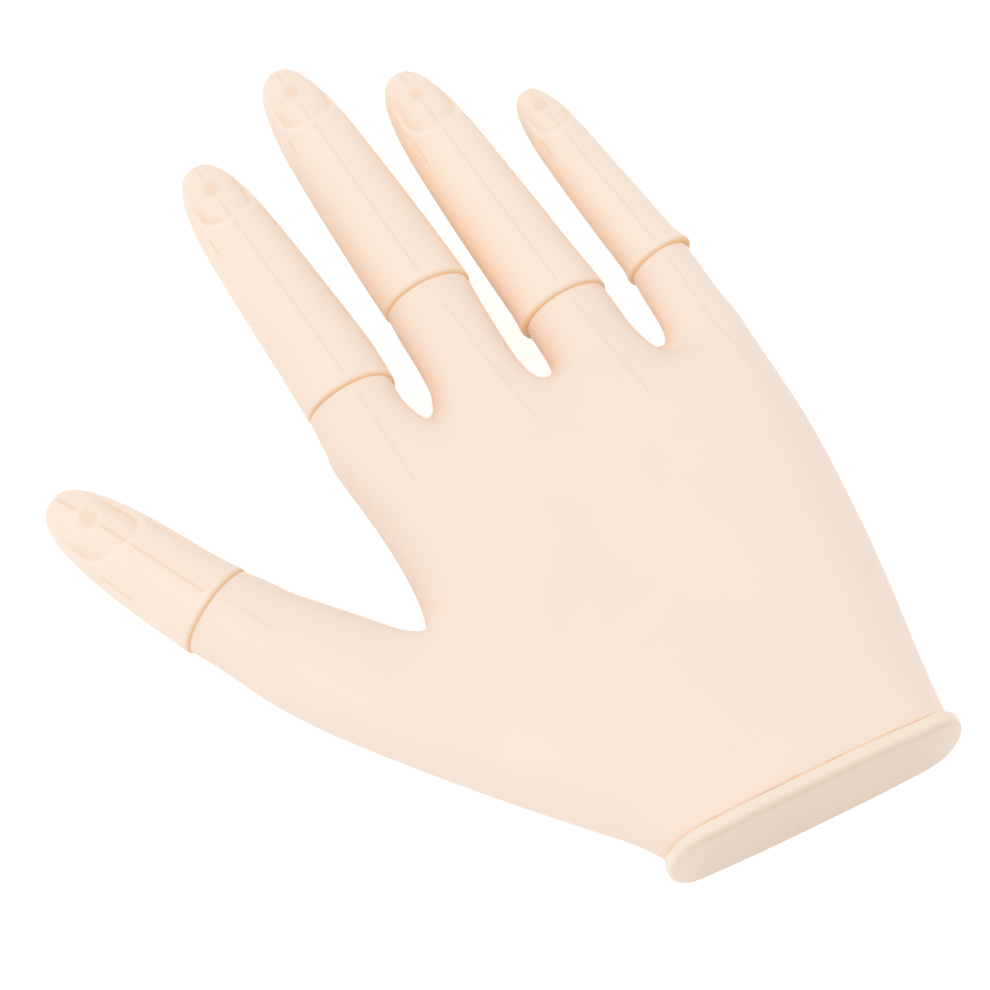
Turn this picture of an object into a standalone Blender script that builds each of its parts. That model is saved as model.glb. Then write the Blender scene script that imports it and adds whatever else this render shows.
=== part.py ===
"""Nail practice hand: a soft hollow right hand, palm down, whose fingers bend on a jointed skeleton.

The origin is the centre of the wrist plug's outer face. +Y runs along the hand to the fingertips,
+Z comes out of its back, and the thumb is on the -X side.
"""

import math

import bmesh
import bpy
from mathutils import Matrix, Vector

MM = 0.001

# The palm and the wrist
PALM_LENGTH = 103.0 * MM
PALM_WIDTH = 89.0 * MM
PALM_THICKNESS = 24.0 * MM
WRIST_WIDTH = 62.4 * MM
WRIST_THICKNESS = 21.8 * MM
SKIN_WALL = 1.2 * MM

# The wrist plug
FLANGE_THICKNESS = 3.2 * MM
FLANGE_LIP = 1.2 * MM
FLANGE_ROUND = 1.1 * MM
FLANGE_EDGE_ANGLE = math.radians(60)
SPIGOT_DEPTH = 13.0 * MM
SPIGOT_TAPER = 0.8 * MM
SOCKET_DEPTH = 10.0 * MM

# Clearances: SEAT where two hard pieces meet, SLIP where a soft skin is pushed over something
SEAT = 0.3 * MM
SLIP = 0.3 * MM
SPIGOT_SLIP = 0.6 * MM
OVERRUN = 2.0 * MM

# The finger sleeves and the necks of the skin that they are pushed on to
SLEEVE_WALL = 1.2 * MM
TIP_WALL = 2.6 * MM
STEP = 0.35 * MM
SEAM_GAP = 0.5 * MM
NECK_LENGTH = 4.5 * MM
TIP_LIFT = 1.2 * MM
FINGER_RISE = 1.0 * MM

# Each finger's stub and sleeve, its width at the seam, and how far its nail bed reaches behind the tip
INDEX_STUB = 10.2 * MM
INDEX_SLEEVE = 62.4 * MM
INDEX_WIDTH = 19.6 * MM
INDEX_NAIL = 17.0 * MM
MIDDLE_STUB = 27.4 * MM
MIDDLE_SLEEVE = 61.0 * MM
MIDDLE_WIDTH = 19.1 * MM
MIDDLE_NAIL = 17.0 * MM
RING_STUB = 16.2 * MM
RING_SLEEVE = 64.7 * MM
RING_WIDTH = 18.9 * MM
RING_NAIL = 17.0 * MM
LITTLE_STUB = 20.0 * MM
LITTLE_SLEEVE = 48.3 * MM
LITTLE_WIDTH = 13.7 * MM
LITTLE_NAIL = 13.5 * MM
THUMB_STUB = 36.0 * MM
THUMB_SLEEVE = 40.3 * MM
THUMB_WIDTH = 19.3 * MM
THUMB_NAIL = 18.0 * MM

# The nail beds
NAIL_DEPTH = 0.65 * MM
SLOT_REACH = 1.4 * MM
SLOT_HEIGHT = 0.4 * MM
CUTICLE_BOW = 3.0 * MM
NAIL_HALF_ANGLE = math.radians(56)

# The hinges of the skeleton
PIN_RADIUS = 0.9 * MM
PIN_HEAD_RADIUS = 1.7 * MM
PIN_HEAD = 0.6 * MM
TONGUE = 2.8 * MM
EAR = 1.5 * MM
HINGE_ROOT = 1.8 * MM

# The palm core
TAB_WIDTH = 30.0 * MM
TAB_THICKNESS = 7.0 * MM
HUB_WIDTH = 44.0 * MM
HUB_LENGTH = 14.0 * MM
HUB_THICKNESS = 9.0 * MM
BAR_HALF_WIDTH = 3.6 * MM
BAR_HALF_HEIGHT = 3.2 * MM
SCREW_RADIUS = 1.25 * MM
SCREW_HEAD_RADIUS = 2.4 * MM
SCREW_HEAD = 1.4 * MM
SCREW_SPACING = 18.0 * MM
SCREW_BITE = 2.5 * MM

# How finely round forms are divided, and what counts as a sharp edge
SIDES = 16
BONE_SIDES = 12
PIN_SIDES = 12
SLEEVE_RINGS = 9
EAR_STEPS = 6
SHARP_ANGLE = math.radians(35)
FLAT_ANGLE = math.radians(1)
MERGE = 0.01 * MM

# A control ring of eight points whose once-subdivided ring has the radius that is asked for
RING_POINTS = 8
CAGE_OVER = 1 / math.cos(math.pi / RING_POINTS)

# What the bones take up of a finger's half width and half height
BONE_WIDTH_SHARE = 0.5
BONE_HEIGHT_SHARE = 0.48


class Finger:
    """One finger, measured along its axis from the seam where its sleeve begins.

    Its height and its rounded end are shares of its width, and it narrows by a slope and a taper. Its first
    hinge is at a share of the skin's stub, and the others are at shares of the sleeve.
    """

    def __init__(self, name, seam, lean, stub, sleeve, width, nail, height_share, dome_share, slope_share,
                 taper_share, stub_joint_share, sleeve_joints_shares):
        self.name = name
        self.stub = stub
        self.sleeve = sleeve
        self.half_width = width / 2
        self.half_height = self.half_width * height_share
        self.dome = width * dome_share
        self.slope_share = slope_share
        self.taper_share = taper_share
        self.joints = (-stub * stub_joint_share, *[sleeve * share for share in sleeve_joints_shares])
        self.nail = nail
        self.along = Vector((-math.sin(lean), math.cos(lean), 0))
        self.side = Vector((math.cos(lean), math.sin(lean), 0))
        self.up = Vector((0, 0, 1))
        self.seam = Vector(seam)
        self.bone_width = self.half_width * BONE_WIDTH_SHARE
        self.bone_height = self.half_height * BONE_HEIGHT_SHARE

    def place(self, distance, aside=0.0, above=0.0):
        return self.seam + self.along * distance + self.side * aside + self.up * above

    def frame(self, distance):
        """Matrix whose X, Y and Z are the finger's side, along and up directions, on the bones' line."""
        turn = Matrix((self.side, self.along, self.up)).transposed().to_4x4()
        return Matrix.Translation(self.place(distance, above=self.lift(distance))) @ turn

    def shares(self, distance):
        """Width and height left at this distance, as a share of those at the seam."""
        way = min(max(distance / self.sleeve, 0.0), 1.0)
        dome = min(max(1 - (self.sleeve - distance) / self.dome, 0.0), 1.0)
        return (1 - self.slope_share * way - self.taper_share * way**2) * (1 - dome**3) ** (1 / 3)

    def lift(self, distance):
        """How far the middle of the section rises towards the tip."""
        return TIP_LIFT * min(max(distance / self.sleeve, 0.0), 1.0) ** 3

    def surface_point(self, distance, angle, inset):
        """A point on the finger's form at an angle from the middle of its back, inset from the surface."""
        share = self.shares(distance)
        across = self.half_width * share - inset
        tall = self.half_height * share - inset
        return self.place(distance, across * math.sin(angle), tall * math.cos(angle) + self.lift(distance))

    def section(self, distance, inset):
        """A ring of points round the finger, inset from its outer form."""
        return [self.surface_point(distance, math.tau * i / SIDES, inset) for i in range(SIDES)]


# Where each seam is, as shares of the palm's width and length
SEAM_PLACES_SHARES = {
    "index": (-0.466, 1.130),
    "middle": (-0.201, 1.272),
    "ring": (0.066, 1.121),
    "little": (0.319, 1.131),
    "thumb": (-0.973, 0.837),
}


def seam_place(name):
    across, along = SEAM_PLACES_SHARES[name]
    return PALM_WIDTH * across, FLANGE_THICKNESS + PALM_LENGTH * along, FINGER_RISE


INDEX = Finger(
    "index",
    seam=seam_place("index"),
    lean=math.radians(6.0),
    stub=INDEX_STUB,
    sleeve=INDEX_SLEEVE,
    width=INDEX_WIDTH,
    nail=INDEX_NAIL,
    height_share=0.964,
    dome_share=1.204,
    slope_share=0.112,
    taper_share=0.200,
    stub_joint_share=0.637,
    sleeve_joints_shares=(0.160, 0.529),
)
MIDDLE = Finger(
    "middle",
    seam=seam_place("middle"),
    lean=math.radians(4.9),
    stub=MIDDLE_STUB,
    sleeve=MIDDLE_SLEEVE,
    width=MIDDLE_WIDTH,
    nail=MIDDLE_NAIL,
    height_share=0.974,
    dome_share=1.346,
    slope_share=0.095,
    taper_share=0.190,
    stub_joint_share=0.766,
    sleeve_joints_shares=(0.164, 0.541),
)
RING = Finger(
    "ring",
    seam=seam_place("ring"),
    lean=math.radians(5.7),
    stub=RING_STUB,
    sleeve=RING_SLEEVE,
    width=RING_WIDTH,
    nail=RING_NAIL,
    height_share=0.963,
    dome_share=1.296,
    slope_share=0.104,
    taper_share=0.192,
    stub_joint_share=0.648,
    sleeve_joints_shares=(0.155, 0.526),
)
LITTLE = Finger(
    "little",
    seam=seam_place("little"),
    lean=math.radians(8.0),
    stub=LITTLE_STUB,
    sleeve=LITTLE_SLEEVE,
    width=LITTLE_WIDTH,
    nail=LITTLE_NAIL,
    height_share=0.971,
    dome_share=1.372,
    slope_share=0.138,
    taper_share=0.146,
    stub_joint_share=0.725,
    sleeve_joints_shares=(0.219, 0.555),
)
THUMB = Finger(
    "thumb",
    seam=seam_place("thumb"),
    lean=math.radians(27.9),
    stub=THUMB_STUB,
    sleeve=THUMB_SLEEVE,
    width=THUMB_WIDTH,
    nail=THUMB_NAIL,
    height_share=0.953,
    dome_share=1.399,
    slope_share=0.105,
    taper_share=0.115,
    stub_joint_share=0.389,
    sleeve_joints_shares=(0.248,),
)
FINGERS = (INDEX, MIDDLE, RING, LITTLE)
DIGITS = (THUMB, *FINGERS)


# Scene, materials and small modelling helpers
def clear_scene():
    for obj in list(bpy.data.objects):
        bpy.data.objects.remove(obj)


def new_collection(name):
    collection = bpy.data.collections.new(name)
    bpy.context.scene.collection.children.link(collection)
    return collection


def plastic(name, colour, roughness, metallic=0.0):
    material = bpy.data.materials.new(name)
    material.use_nodes = True
    shader = material.node_tree.nodes["Principled BSDF"]
    shader.inputs["Base Color"].default_value = (*colour, 1)
    shader.inputs["Roughness"].default_value = roughness
    shader.inputs["Metallic"].default_value = metallic
    return material


def add_object(name, mesh, collection, material=None):
    """A new object with this mesh, shaded smooth except at sharp edges."""
    obj = bpy.data.objects.new(name, mesh)
    collection.objects.link(obj)
    if material:
        mesh.materials.clear()
        mesh.materials.append(material)
    mesh.shade_smooth()
    mesh.set_sharp_from_angle(angle=SHARP_ANGLE)
    return obj


def mesh_of(name, shape):
    """Closes a bmesh's normals outwards and hands it over as a mesh."""
    bmesh.ops.recalc_face_normals(shape, faces=shape.faces)
    mesh = bpy.data.meshes.new(name)
    shape.to_mesh(mesh)
    shape.free()
    return mesh


def helper(name, mesh):
    """A cutter or another helper, which isn't a piece of the hand."""
    obj = add_object(name, mesh, helpers)
    obj.hide_render = True
    obj.display_type = "WIRE"
    return obj


def combine(target, other, operation):
    modifier = target.modifiers.new(operation.title(), "BOOLEAN")
    modifier.operation = operation
    modifier.object = other
    modifier.solver = "EXACT"


def applied(obj):
    """The object's mesh with its modifiers made real."""
    bpy.context.view_layer.update()
    graph = bpy.context.evaluated_depsgraph_get()
    return bpy.data.meshes.new_from_object(obj.evaluated_get(graph))


def settle(obj):
    """Makes the modifiers real, so that helpers can go on to be used elsewhere."""
    mesh = applied(obj)
    obj.modifiers.clear()
    obj.data = mesh
    mesh.shade_smooth()
    mesh.set_sharp_from_angle(angle=SHARP_ANGLE)


def loft(name, rings):
    """A closed solid through rings of points, with a flat face at each end."""
    shape = bmesh.new()
    loops = [[shape.verts.new(point) for point in ring] for ring in rings]
    for near, far in zip(loops, loops[1:]):
        for i in range(len(near)):
            j = (i + 1) % len(near)
            shape.faces.new((near[i], near[j], far[j], far[i]))
    shape.faces.new(loops[0][::-1])
    shape.faces.new(loops[-1])
    return mesh_of(name, shape)


def block(name, size, middle):
    shape = bmesh.new()
    bmesh.ops.create_cube(shape, size=1)
    bmesh.ops.scale(shape, vec=size, verts=shape.verts)
    bmesh.ops.translate(shape, vec=middle, verts=shape.verts)
    return mesh_of(name, shape)


def placed_mesh(obj, matrix):
    """A helper's evaluated mesh, welded, its flat faces whole, moved by a matrix. The helper goes."""
    mesh = applied(obj)
    bpy.data.objects.remove(obj)
    shape = bmesh.new()
    shape.from_mesh(mesh)
    bmesh.ops.remove_doubles(shape, verts=shape.verts, dist=MERGE)
    bmesh.ops.dissolve_limit(shape, angle_limit=FLAT_ANGLE, verts=shape.verts, edges=shape.edges)
    bmesh.ops.transform(shape, matrix=matrix, verts=shape.verts)
    return mesh_of(mesh.name, shape)


def turned(name, profile, matrix):
    """A solid turned about the Z of a matrix, from (radius, height) pairs from its top down."""
    points = [(0, profile[0][1]), *profile, (0, profile[-1][1])]
    outline = bpy.data.meshes.new(name)
    edges = [(i, i + 1) for i in range(len(points) - 1)]
    outline.from_pydata([(radius, 0, height) for radius, height in points], edges, [])
    obj = helper(name, outline)
    screw = obj.modifiers.new("Turn", "SCREW")
    screw.steps = screw.render_steps = PIN_SIDES
    screw.use_merge_vertices = True
    screw.merge_threshold = MERGE
    return placed_mesh(obj, matrix)


def extruded(name, outline, thickness, matrix):
    """A flat outline in the XY plane of a matrix, given a thickness half above it and half below."""
    curve = bpy.data.curves.new(name, "CURVE")
    curve.dimensions = "2D"
    curve.fill_mode = "BOTH"
    curve.extrude = thickness / 2
    spline = curve.splines.new("POLY")
    spline.points.add(len(outline) - 1)
    for point, (x, y) in zip(spline.points, outline):
        point.co = (x, y, 0, 1)
    spline.use_cyclic_u = True
    obj = bpy.data.objects.new(name, curve)
    helpers.objects.link(obj)
    return placed_mesh(obj, matrix)


# Turns the Z of a turned or extruded shape to a finger's side and its X down. Its Y stays along the finger
ACROSS = Matrix.Rotation(math.pi / 2, 4, "Y")


# The palm skin: a control net of quads, subdivided and made a shell
COLUMNS = 9
LEFT_MID = 0
RIGHT_MID = COLUMNS + 1

# Rows from the wrist to the last one before the web line, as shares: along the palm's length,
# left and right of its width, above and below of its thickness
PALM_ROWS_SHARES = (
    (0.067, -0.407, 0.367, 0.450, -0.455),
    (0.167, -0.533, 0.385, 0.465, -0.490),
    (0.357, -0.765, 0.426, 0.480, -0.530),
    (0.567, -0.587, 0.444, 0.490, -0.540),
    (0.707, -0.566, 0.451, 0.480, -0.520),
    (0.867, -0.576, 0.439, 0.455, -0.480),
)
# The thumb grows from this row and the two after it
FIRST_THUMB_ROW = 2
# The columns of one row, as shares of the width there, and what is left of the height at each. The wrist's
# own row is fuller at its ends
WRIST_COLUMNS_SHARES = (0.045, 0.17, 0.28, 0.39, 0.50, 0.61, 0.72, 0.83, 0.955)
WRIST_CROWN_SHARES = (0.90, 0.96, 1.03, 1.04, 1.04, 1.04, 1.03, 0.96, 0.90)
EDGE_COLUMN_SHARE = 0.07
CROWN_SHARES = (0.74, 0.96, 1.03, 1.05, 1.06, 1.05, 1.03, 0.96, 0.74)
WEB_CROWN_SHARE = 0.62
EDGE_OUT_SHARE = 0.012
LITTLE_IN_SHARE = 0.013
# How far the webs lie behind the web line on the hand's back, in their middle and on its palm side, and how
# far each of the three is moved aside and forward. The thumb's web is turned in the same way
WEB_BACK = 8.7 * MM
WEB_SADDLE = 2.2 * MM
WEB_PALM = -2.8 * MM
WEB_MOVES = ((-1.4 * MM, 1.2 * MM), (-2.7 * MM, 4.8 * MM), (-1.0 * MM, 2.0 * MM))
THUMB_WEB_ASIDE = -2.0 * MM
THUMB_WEB_BACK = -1.6 * MM
THUMB_WEB_PALM = -5.0 * MM
ROOT_WIDER = 1.4 * MM
# The rings of each stub before its seam: place as a share of the stub, width and height as shares of those at
# the seam, and how much the left and the right side widen, as shares of the finger's half width
STUB_RINGS_SHARES = {
    "index": ((-0.80, 1.00, 1.00, 0.165, -0.20),),
    "middle": ((-0.80, 1.00, 1.00, 0.17, -0.17), (-0.30, 1.00, 1.00, 0.11, -0.06)),
    "ring": ((-0.80, 1.00, 1.00, 0.09, 0.01), (-0.35, 1.00, 1.00, 0.02, 0.03)),
    "little": ((-0.80, 1.00, 1.00, 0.42, -0.13), (-0.40, 1.00, 1.00, 0.22, -0.03)),
    "thumb": ((-0.77, 0.99, 1.10, 0.08, 0.88), (-0.34, 1.00, 1.03, -0.05, 0.34)),
}


def lerp(a, b, share):
    return a + (b - a) * share


def web_columns():
    """Where the nine columns cross the web line: side, finger, web, finger and so on to the other side."""
    places = []
    for number, finger in enumerate(FINGERS):
        root = finger.place(-finger.stub)
        half = (finger.half_width - STEP) * CAGE_OVER
        left = root - finger.side * (half + ROOT_WIDER)
        right = root + finger.side * half
        if number:
            places[-1] = (places[-1] + left) / 2
        else:
            places.append(left)
        places += [root, right]
    places[-1] -= Vector((LITTLE_IN_SHARE * PALM_WIDTH, 0, 0))
    return places


def row_ring(row_shares, columns_share, front):
    """The twenty control points of a row of the palm: left, over the top, right, and back underneath."""
    along, left, right, above, below = row_shares
    y = FLANGE_THICKNESS + PALM_LENGTH * along
    left, right = left * PALM_WIDTH, right * PALM_WIDTH
    above, below = above * PALM_THICKNESS, below * PALM_THICKNESS
    return section_ring(y, left, right, above, below, columns_share, front)


def section_ring(y, left, right, above, below, columns_share, front):
    """The control points of a section. Its columns go from the wrist's places to those of the web line."""
    middle = (above + below) / 2
    front_shares = [(p.x - front[0].x) / (front[-1].x - front[0].x) for p in front]
    top, bottom = [], []
    for column in range(COLUMNS):
        share, crown = WRIST_COLUMNS_SHARES[column], WRIST_CROWN_SHARES[column]
        if columns_share:
            share = lerp(share, front_shares[column], columns_share)
            share, crown = min(max(share, EDGE_COLUMN_SHARE), 1 - EDGE_COLUMN_SHARE), CROWN_SHARES[column]
        x = lerp(left, right, share)
        top.append(Vector((x, y, middle + (above - middle) * crown)))
        bottom.append(Vector((x, y, middle + (below - middle) * crown)))
    out = EDGE_OUT_SHARE * (right - left)
    left_mid = Vector((left - out, y, middle))
    right_mid = Vector((right + out, y, middle))
    return [left_mid, *top, right_mid, *bottom[::-1]]


def wrist_ring(outset, y):
    """The skin's control ring at the wrist, grown by an outset."""
    half = WRIST_WIDTH / 2 + outset
    tall = WRIST_THICKNESS / 2 + outset
    return section_ring(y, -half, half, tall, -tall, 0.0, web_columns())


def front_ring(front):
    """The row on the web line, and the points in the middle of the three webs."""
    top, bottom, middles = [], [], []
    for column, place in enumerate(front):
        finger = FINGERS[min(column // 2, len(FINGERS) - 1)]
        tall = Vector((0, 0, finger.half_height * CAGE_OVER))
        back, saddle, palm = 0, 0, 0
        if column % 2 == 0:
            tall *= WEB_CROWN_SHARE
            if 0 < column < COLUMNS - 1:
                place = place + Vector((*WEB_MOVES[column // 2 - 1], 0))
                back, saddle, palm = WEB_BACK, WEB_SADDLE, WEB_PALM
            middles.append(place - Vector((0, saddle, 0)))
        top.append(place + tall - Vector((0, back, 0)))
        bottom.append(place - tall - Vector((0, palm, 0)))
    left_mid = middles[0] - Vector((EDGE_OUT_SHARE * PALM_WIDTH, 0, 0))
    return [left_mid, *top, middles[-1], *bottom[::-1]], middles[1:-1]


def digit_ring(finger, distance, half_width, half_height, left_wider=0.0, right_wider=0.0):
    """Eight control points round a finger, from its left over its top."""
    points = []
    for step in range(RING_POINTS):
        angle = math.pi - math.tau * step / RING_POINTS
        aside = math.cos(angle) * half_width * CAGE_OVER
        aside += math.cos(angle) * (right_wider if aside > 0 else left_wider)
        points.append(finger.place(distance, aside, math.sin(angle) * half_height * CAGE_OVER))
    return points


def stub_rings(finger):
    """Control rings of a finger's stub, from the web line to its seam."""
    half_width, half_height = finger.half_width - STEP, finger.half_height - STEP
    rings = []
    for along, wide, tall, left, right in STUB_RINGS_SHARES[finger.name]:
        size = half_width * wide, half_height * tall
        wider = left * finger.half_width, right * finger.half_width
        rings.append(digit_ring(finger, along * finger.stub, *size, *wider))
    rings.append(digit_ring(finger, -SEAM_GAP, half_width, half_height))
    return rings


def join_rings(shape, near, far, left_out=()):
    for i in range(len(near)):
        j = (i + 1) % len(near)
        if i not in left_out:
            shape.faces.new((near[i], near[j], far[j], far[i]))


def grow_digit(shape, base, finger):
    """Joins a finger's rings to the loop of eight points that it grows from."""
    before = base
    for points in stub_rings(finger):
        ring = [shape.verts.new(point) for point in points]
        join_rings(shape, before, ring)
        before = ring


def palm_net():
    """The control net of the palm skin, from the wrist's rim to the five seams."""
    shape = bmesh.new()
    front = web_columns()
    rows = [wrist_ring(0.0, FLANGE_THICKNESS + SEAT)]
    for row in PALM_ROWS_SHARES:
        rows.append(row_ring(row, row[0], front))
    front_points, webs = front_ring(front)
    rows.append(front_points)
    first, middle, last = range(FIRST_THUMB_ROW, FIRST_THUMB_ROW + 3)
    rows[last][1] += Vector((THUMB_WEB_ASIDE, -THUMB_WEB_BACK, 0))
    rows[last][-1] -= Vector((0, THUMB_WEB_PALM, 0))
    loops = []
    for number, points in enumerate(rows):
        loop = [
            None if number == middle and i == LEFT_MID else shape.verts.new(point)
            for i, point in enumerate(points)
        ]
        loops.append(loop)
    for number, (near, far) in enumerate(zip(loops, loops[1:])):
        thumb_here = first <= number < last
        join_rings(shape, near, far, left_out=(LEFT_MID, len(near) - 1) if thumb_here else ())
    a, b, c = loops[first], loops[middle], loops[last]
    grow_digit(shape, [a[0], a[1], b[1], c[1], c[0], c[-1], b[-1], a[-1]], THUMB)
    row = loops[-1]
    top, bottom = row[1 : COLUMNS + 1], row[: COLUMNS + 1 : -1]
    mids = [row[LEFT_MID], *[shape.verts.new(point) for point in webs], row[RIGHT_MID]]
    for number, finger in enumerate(FINGERS):
        left, centre, right = 2 * number, 2 * number + 1, 2 * number + 2
        base = [
            mids[number],
            top[left],
            top[centre],
            top[right],
            mids[number + 1],
            bottom[right],
            bottom[centre],
            bottom[left],
        ]
        grow_digit(shape, base, finger)
    mesh = bpy.data.meshes.new("palm_skin")
    shape.to_mesh(mesh)
    shape.free()
    return mesh


def end_loop(shape, finger):
    """The open edge at the end of a finger's stub, in the order of its control rings."""
    middle = finger.place(-SEAM_GAP)
    loop = [v for v in shape.verts if v.is_boundary and (v.co - middle).length < finger.half_width]
    return sorted(loop, key=lambda v: -math.atan2(v.co.z - middle.z, (v.co - middle).dot(finger.side)))


def add_neck(shape, finger):
    """Steps a stub in at its end, and carries it on as the neck that the sleeve is pushed on to."""
    before = end_loop(shape, finger)
    middle = finger.place(-SEAM_GAP)
    inset = SLEEVE_WALL + SLIP
    narrower = (finger.half_width - inset) / (finger.half_width - STEP)
    lower = (finger.half_height - inset) / (finger.half_height - STEP)
    places = [((v.co - middle).dot(finger.side) * narrower, (v.co.z - middle.z) * lower) for v in before]
    for distance in (-SEAM_GAP, NECK_LENGTH):
        ring = [shape.verts.new(finger.place(distance, aside, above)) for aside, above in places]
        join_rings(shape, before, ring)
        before = ring


def make_palm_skin():
    skin = add_object("palm_skin", palm_net(), hand, palm_material)
    smooth = skin.modifiers.new("Smooth form", "SUBSURF")
    smooth.levels = smooth.render_levels = 1
    settle(skin)
    shape = bmesh.new()
    shape.from_mesh(skin.data)
    for finger in DIGITS:
        add_neck(shape, finger)
    shape.to_mesh(skin.data)
    shape.free()
    wall = skin.modifiers.new("Wall", "SOLIDIFY")
    wall.thickness = SKIN_WALL
    wall.offset = -1
    wall.use_even_offset = True
    settle(skin)


# The wrist plug
def smooth_loop(points):
    """One step of the subdivision that the skin's rim gets."""
    loop = []
    for i, point in enumerate(points):
        before, after = points[i - 1], points[(i + 1) % len(points)]
        loop += [(before + point * 6 + after) / 8, (point + after) / 2]
    return loop


def wrist_slab(name, near, far):
    """A solid of the wrist's section between two ends, each given as its outset and its y."""
    return loft(name, [smooth_loop(wrist_ring(outset, y)) for outset, y in (near, far)])


def make_wrist_plug():
    flange = wrist_slab("wrist_plug", (FLANGE_LIP, 0.0), (FLANGE_LIP, FLANGE_THICKNESS))
    plug = add_object("wrist_plug", flange, hand, plug_material)
    rounding = plug.modifiers.new("Round edge", "BEVEL")
    rounding.width = FLANGE_ROUND
    rounding.segments = 2
    rounding.limit_method = "ANGLE"
    rounding.angle_limit = FLANGE_EDGE_ANGLE
    near, far = ((-spigot_inset(y), y) for y in (FLANGE_THICKNESS / 2, spigot_end()))
    combine(plug, helper("spigot", wrist_slab("spigot", near, far)), "UNION")
    size = (TAB_WIDTH + 2 * SEAT, SOCKET_DEPTH + SEAT + OVERRUN, TAB_THICKNESS + 2 * SEAT)
    middle = (0, spigot_end() - SOCKET_DEPTH - SEAT + size[1] / 2, 0)
    combine(plug, helper("socket", block("socket", size, middle)), "DIFFERENCE")
    for number, place in enumerate(screw_places()):
        counterbore = SCREW_HEAD + 2 * SEAT
        bore = ((SCREW_RADIUS + SEAT, screw_length() + 2 * SEAT), (SCREW_RADIUS + SEAT, counterbore))
        bore += ((SCREW_HEAD_RADIUS + SEAT, counterbore), (SCREW_HEAD_RADIUS + SEAT, -OVERRUN))
        combine(plug, helper(f"screw_bore_{number}", turned("bore", bore, place)), "DIFFERENCE")
    settle(plug)


def spigot_end():
    return FLANGE_THICKNESS + SPIGOT_DEPTH


def spigot_inset(y):
    """How far inside the wrist's outer form the spigot's sides are. They draw in towards its end."""
    return SKIN_WALL + SPIGOT_SLIP + SPIGOT_TAPER * (y - FLANGE_THICKNESS) / SPIGOT_DEPTH


def screw_y():
    return spigot_end() - SOCKET_DEPTH / 2


def spigot_half():
    """Half the spigot's thickness where the screws are."""
    return WRIST_THICKNESS / 2 - spigot_inset(screw_y())


def screw_length():
    """From the spigot's underside, through the tab, into the wall above it."""
    return spigot_half() + TAB_THICKNESS / 2 + SCREW_BITE


def screw_places():
    """Where the screws start on the spigot's underside, pointing up."""
    sides = (-SCREW_SPACING / 2, SCREW_SPACING / 2)
    return [Matrix.Translation((x, screw_y(), -spigot_half())) for x in sides]


def make_plug_screws():
    shank = ((SCREW_RADIUS, screw_length()), (SCREW_RADIUS, SEAT + SCREW_HEAD))
    head = ((SCREW_HEAD_RADIUS, SEAT + SCREW_HEAD), (SCREW_HEAD_RADIUS, SEAT))
    for number, place in enumerate(screw_places()):
        add_object(f"plug_screw_{number + 1}", turned("screw", shank + head, place), hand, screw_material)


# The finger sleeves
def sleeve_mesh(finger, inset, start, end):
    """A closed loft of the finger's form, inset, with rings closer together towards its end."""
    turns = [math.pi / 2 * i / SLEEVE_RINGS for i in range(SLEEVE_RINGS + 1)]
    return loft(finger.name, [finger.section(lerp(start, end, math.sin(turn)), inset) for turn in turns])


# Rows of the nail bed's cutter: share of the nail's length, and share of the depth
NAIL_ROWS_SHARES = ((0.02, 1.0), (0.3, 0.95), (0.55, 0.75), (0.8, 0.1), (0.95, -0.9))
NAIL_COLUMNS = 6
SLEEVE_END_SHARE = 0.998


def nail_row(finger, behind, low_inset, high_inset):
    """A ring of points across the nail bed, this far behind the nail's tip, bowed like the cuticle."""
    low, high = [], []
    for column in range(NAIL_COLUMNS + 1):
        turn = 2 * column / NAIL_COLUMNS - 1
        distance = finger.sleeve - behind + CUTICLE_BOW * turn**2 * behind / finger.nail
        low.append(finger.surface_point(distance, turn * NAIL_HALF_ANGLE, low_inset))
        high.append(finger.surface_point(distance, turn * NAIL_HALF_ANGLE, high_inset))
    return low + high[::-1]


def nail_cutter(finger):
    """The space over a nail bed, with a thin slot under the cuticle that takes the root of a nail tip."""
    slot_top = NAIL_DEPTH - SLOT_HEIGHT
    rings = [
        nail_row(finger, finger.nail + SLOT_REACH, NAIL_DEPTH, slot_top),
        nail_row(finger, finger.nail, NAIL_DEPTH, slot_top),
    ]
    for along, depth in NAIL_ROWS_SHARES:
        rings.append(nail_row(finger, finger.nail * (1 - along), NAIL_DEPTH * depth, -OVERRUN))
    return helper(f"{finger.name}_nail_cutter", loft("nail", rings))


def make_sleeve(finger):
    outer = sleeve_mesh(finger, 0.0, 0.0, finger.sleeve * SLEEVE_END_SHARE)
    sleeve = add_object(f"{finger.name}_sleeve", outer, hand, sleeve_material)
    cavity = sleeve_mesh(finger, SLEEVE_WALL, -OVERRUN, finger.sleeve - TIP_WALL)
    combine(sleeve, helper(f"{finger.name}_cavity", cavity), "DIFFERENCE")
    combine(sleeve, nail_cutter(finger), "DIFFERENCE")
    settle(sleeve)
    return sleeve


# The skeleton: tongue and fork hinges, each with a headed pin. The shares are of a sleeve's length, of the
# fingertip bone's length, and of the finger's own narrowing there
BONE_END_SHARE = 0.86
TIP_RINGS_SHARES = (0.0, 0.5, 0.85, 1.0)
TIP_BONE_SHARE = 1.35
TIP_END_SHARE = 0.5
BONE_NAMES = ("proximal_bone", "middle_bone", "distal_bone")
THUMB_BONE_NAMES = ("proximal_bone", "distal_bone")
PIN_NAMES = ("root_pin", "middle_pin", "tip_pin")
THUMB_PIN_NAMES = ("root_pin", "tip_pin")


def hinge_reach(finger):
    """How far the round ends of a hinge go from its pin."""
    return finger.bone_height


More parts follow.
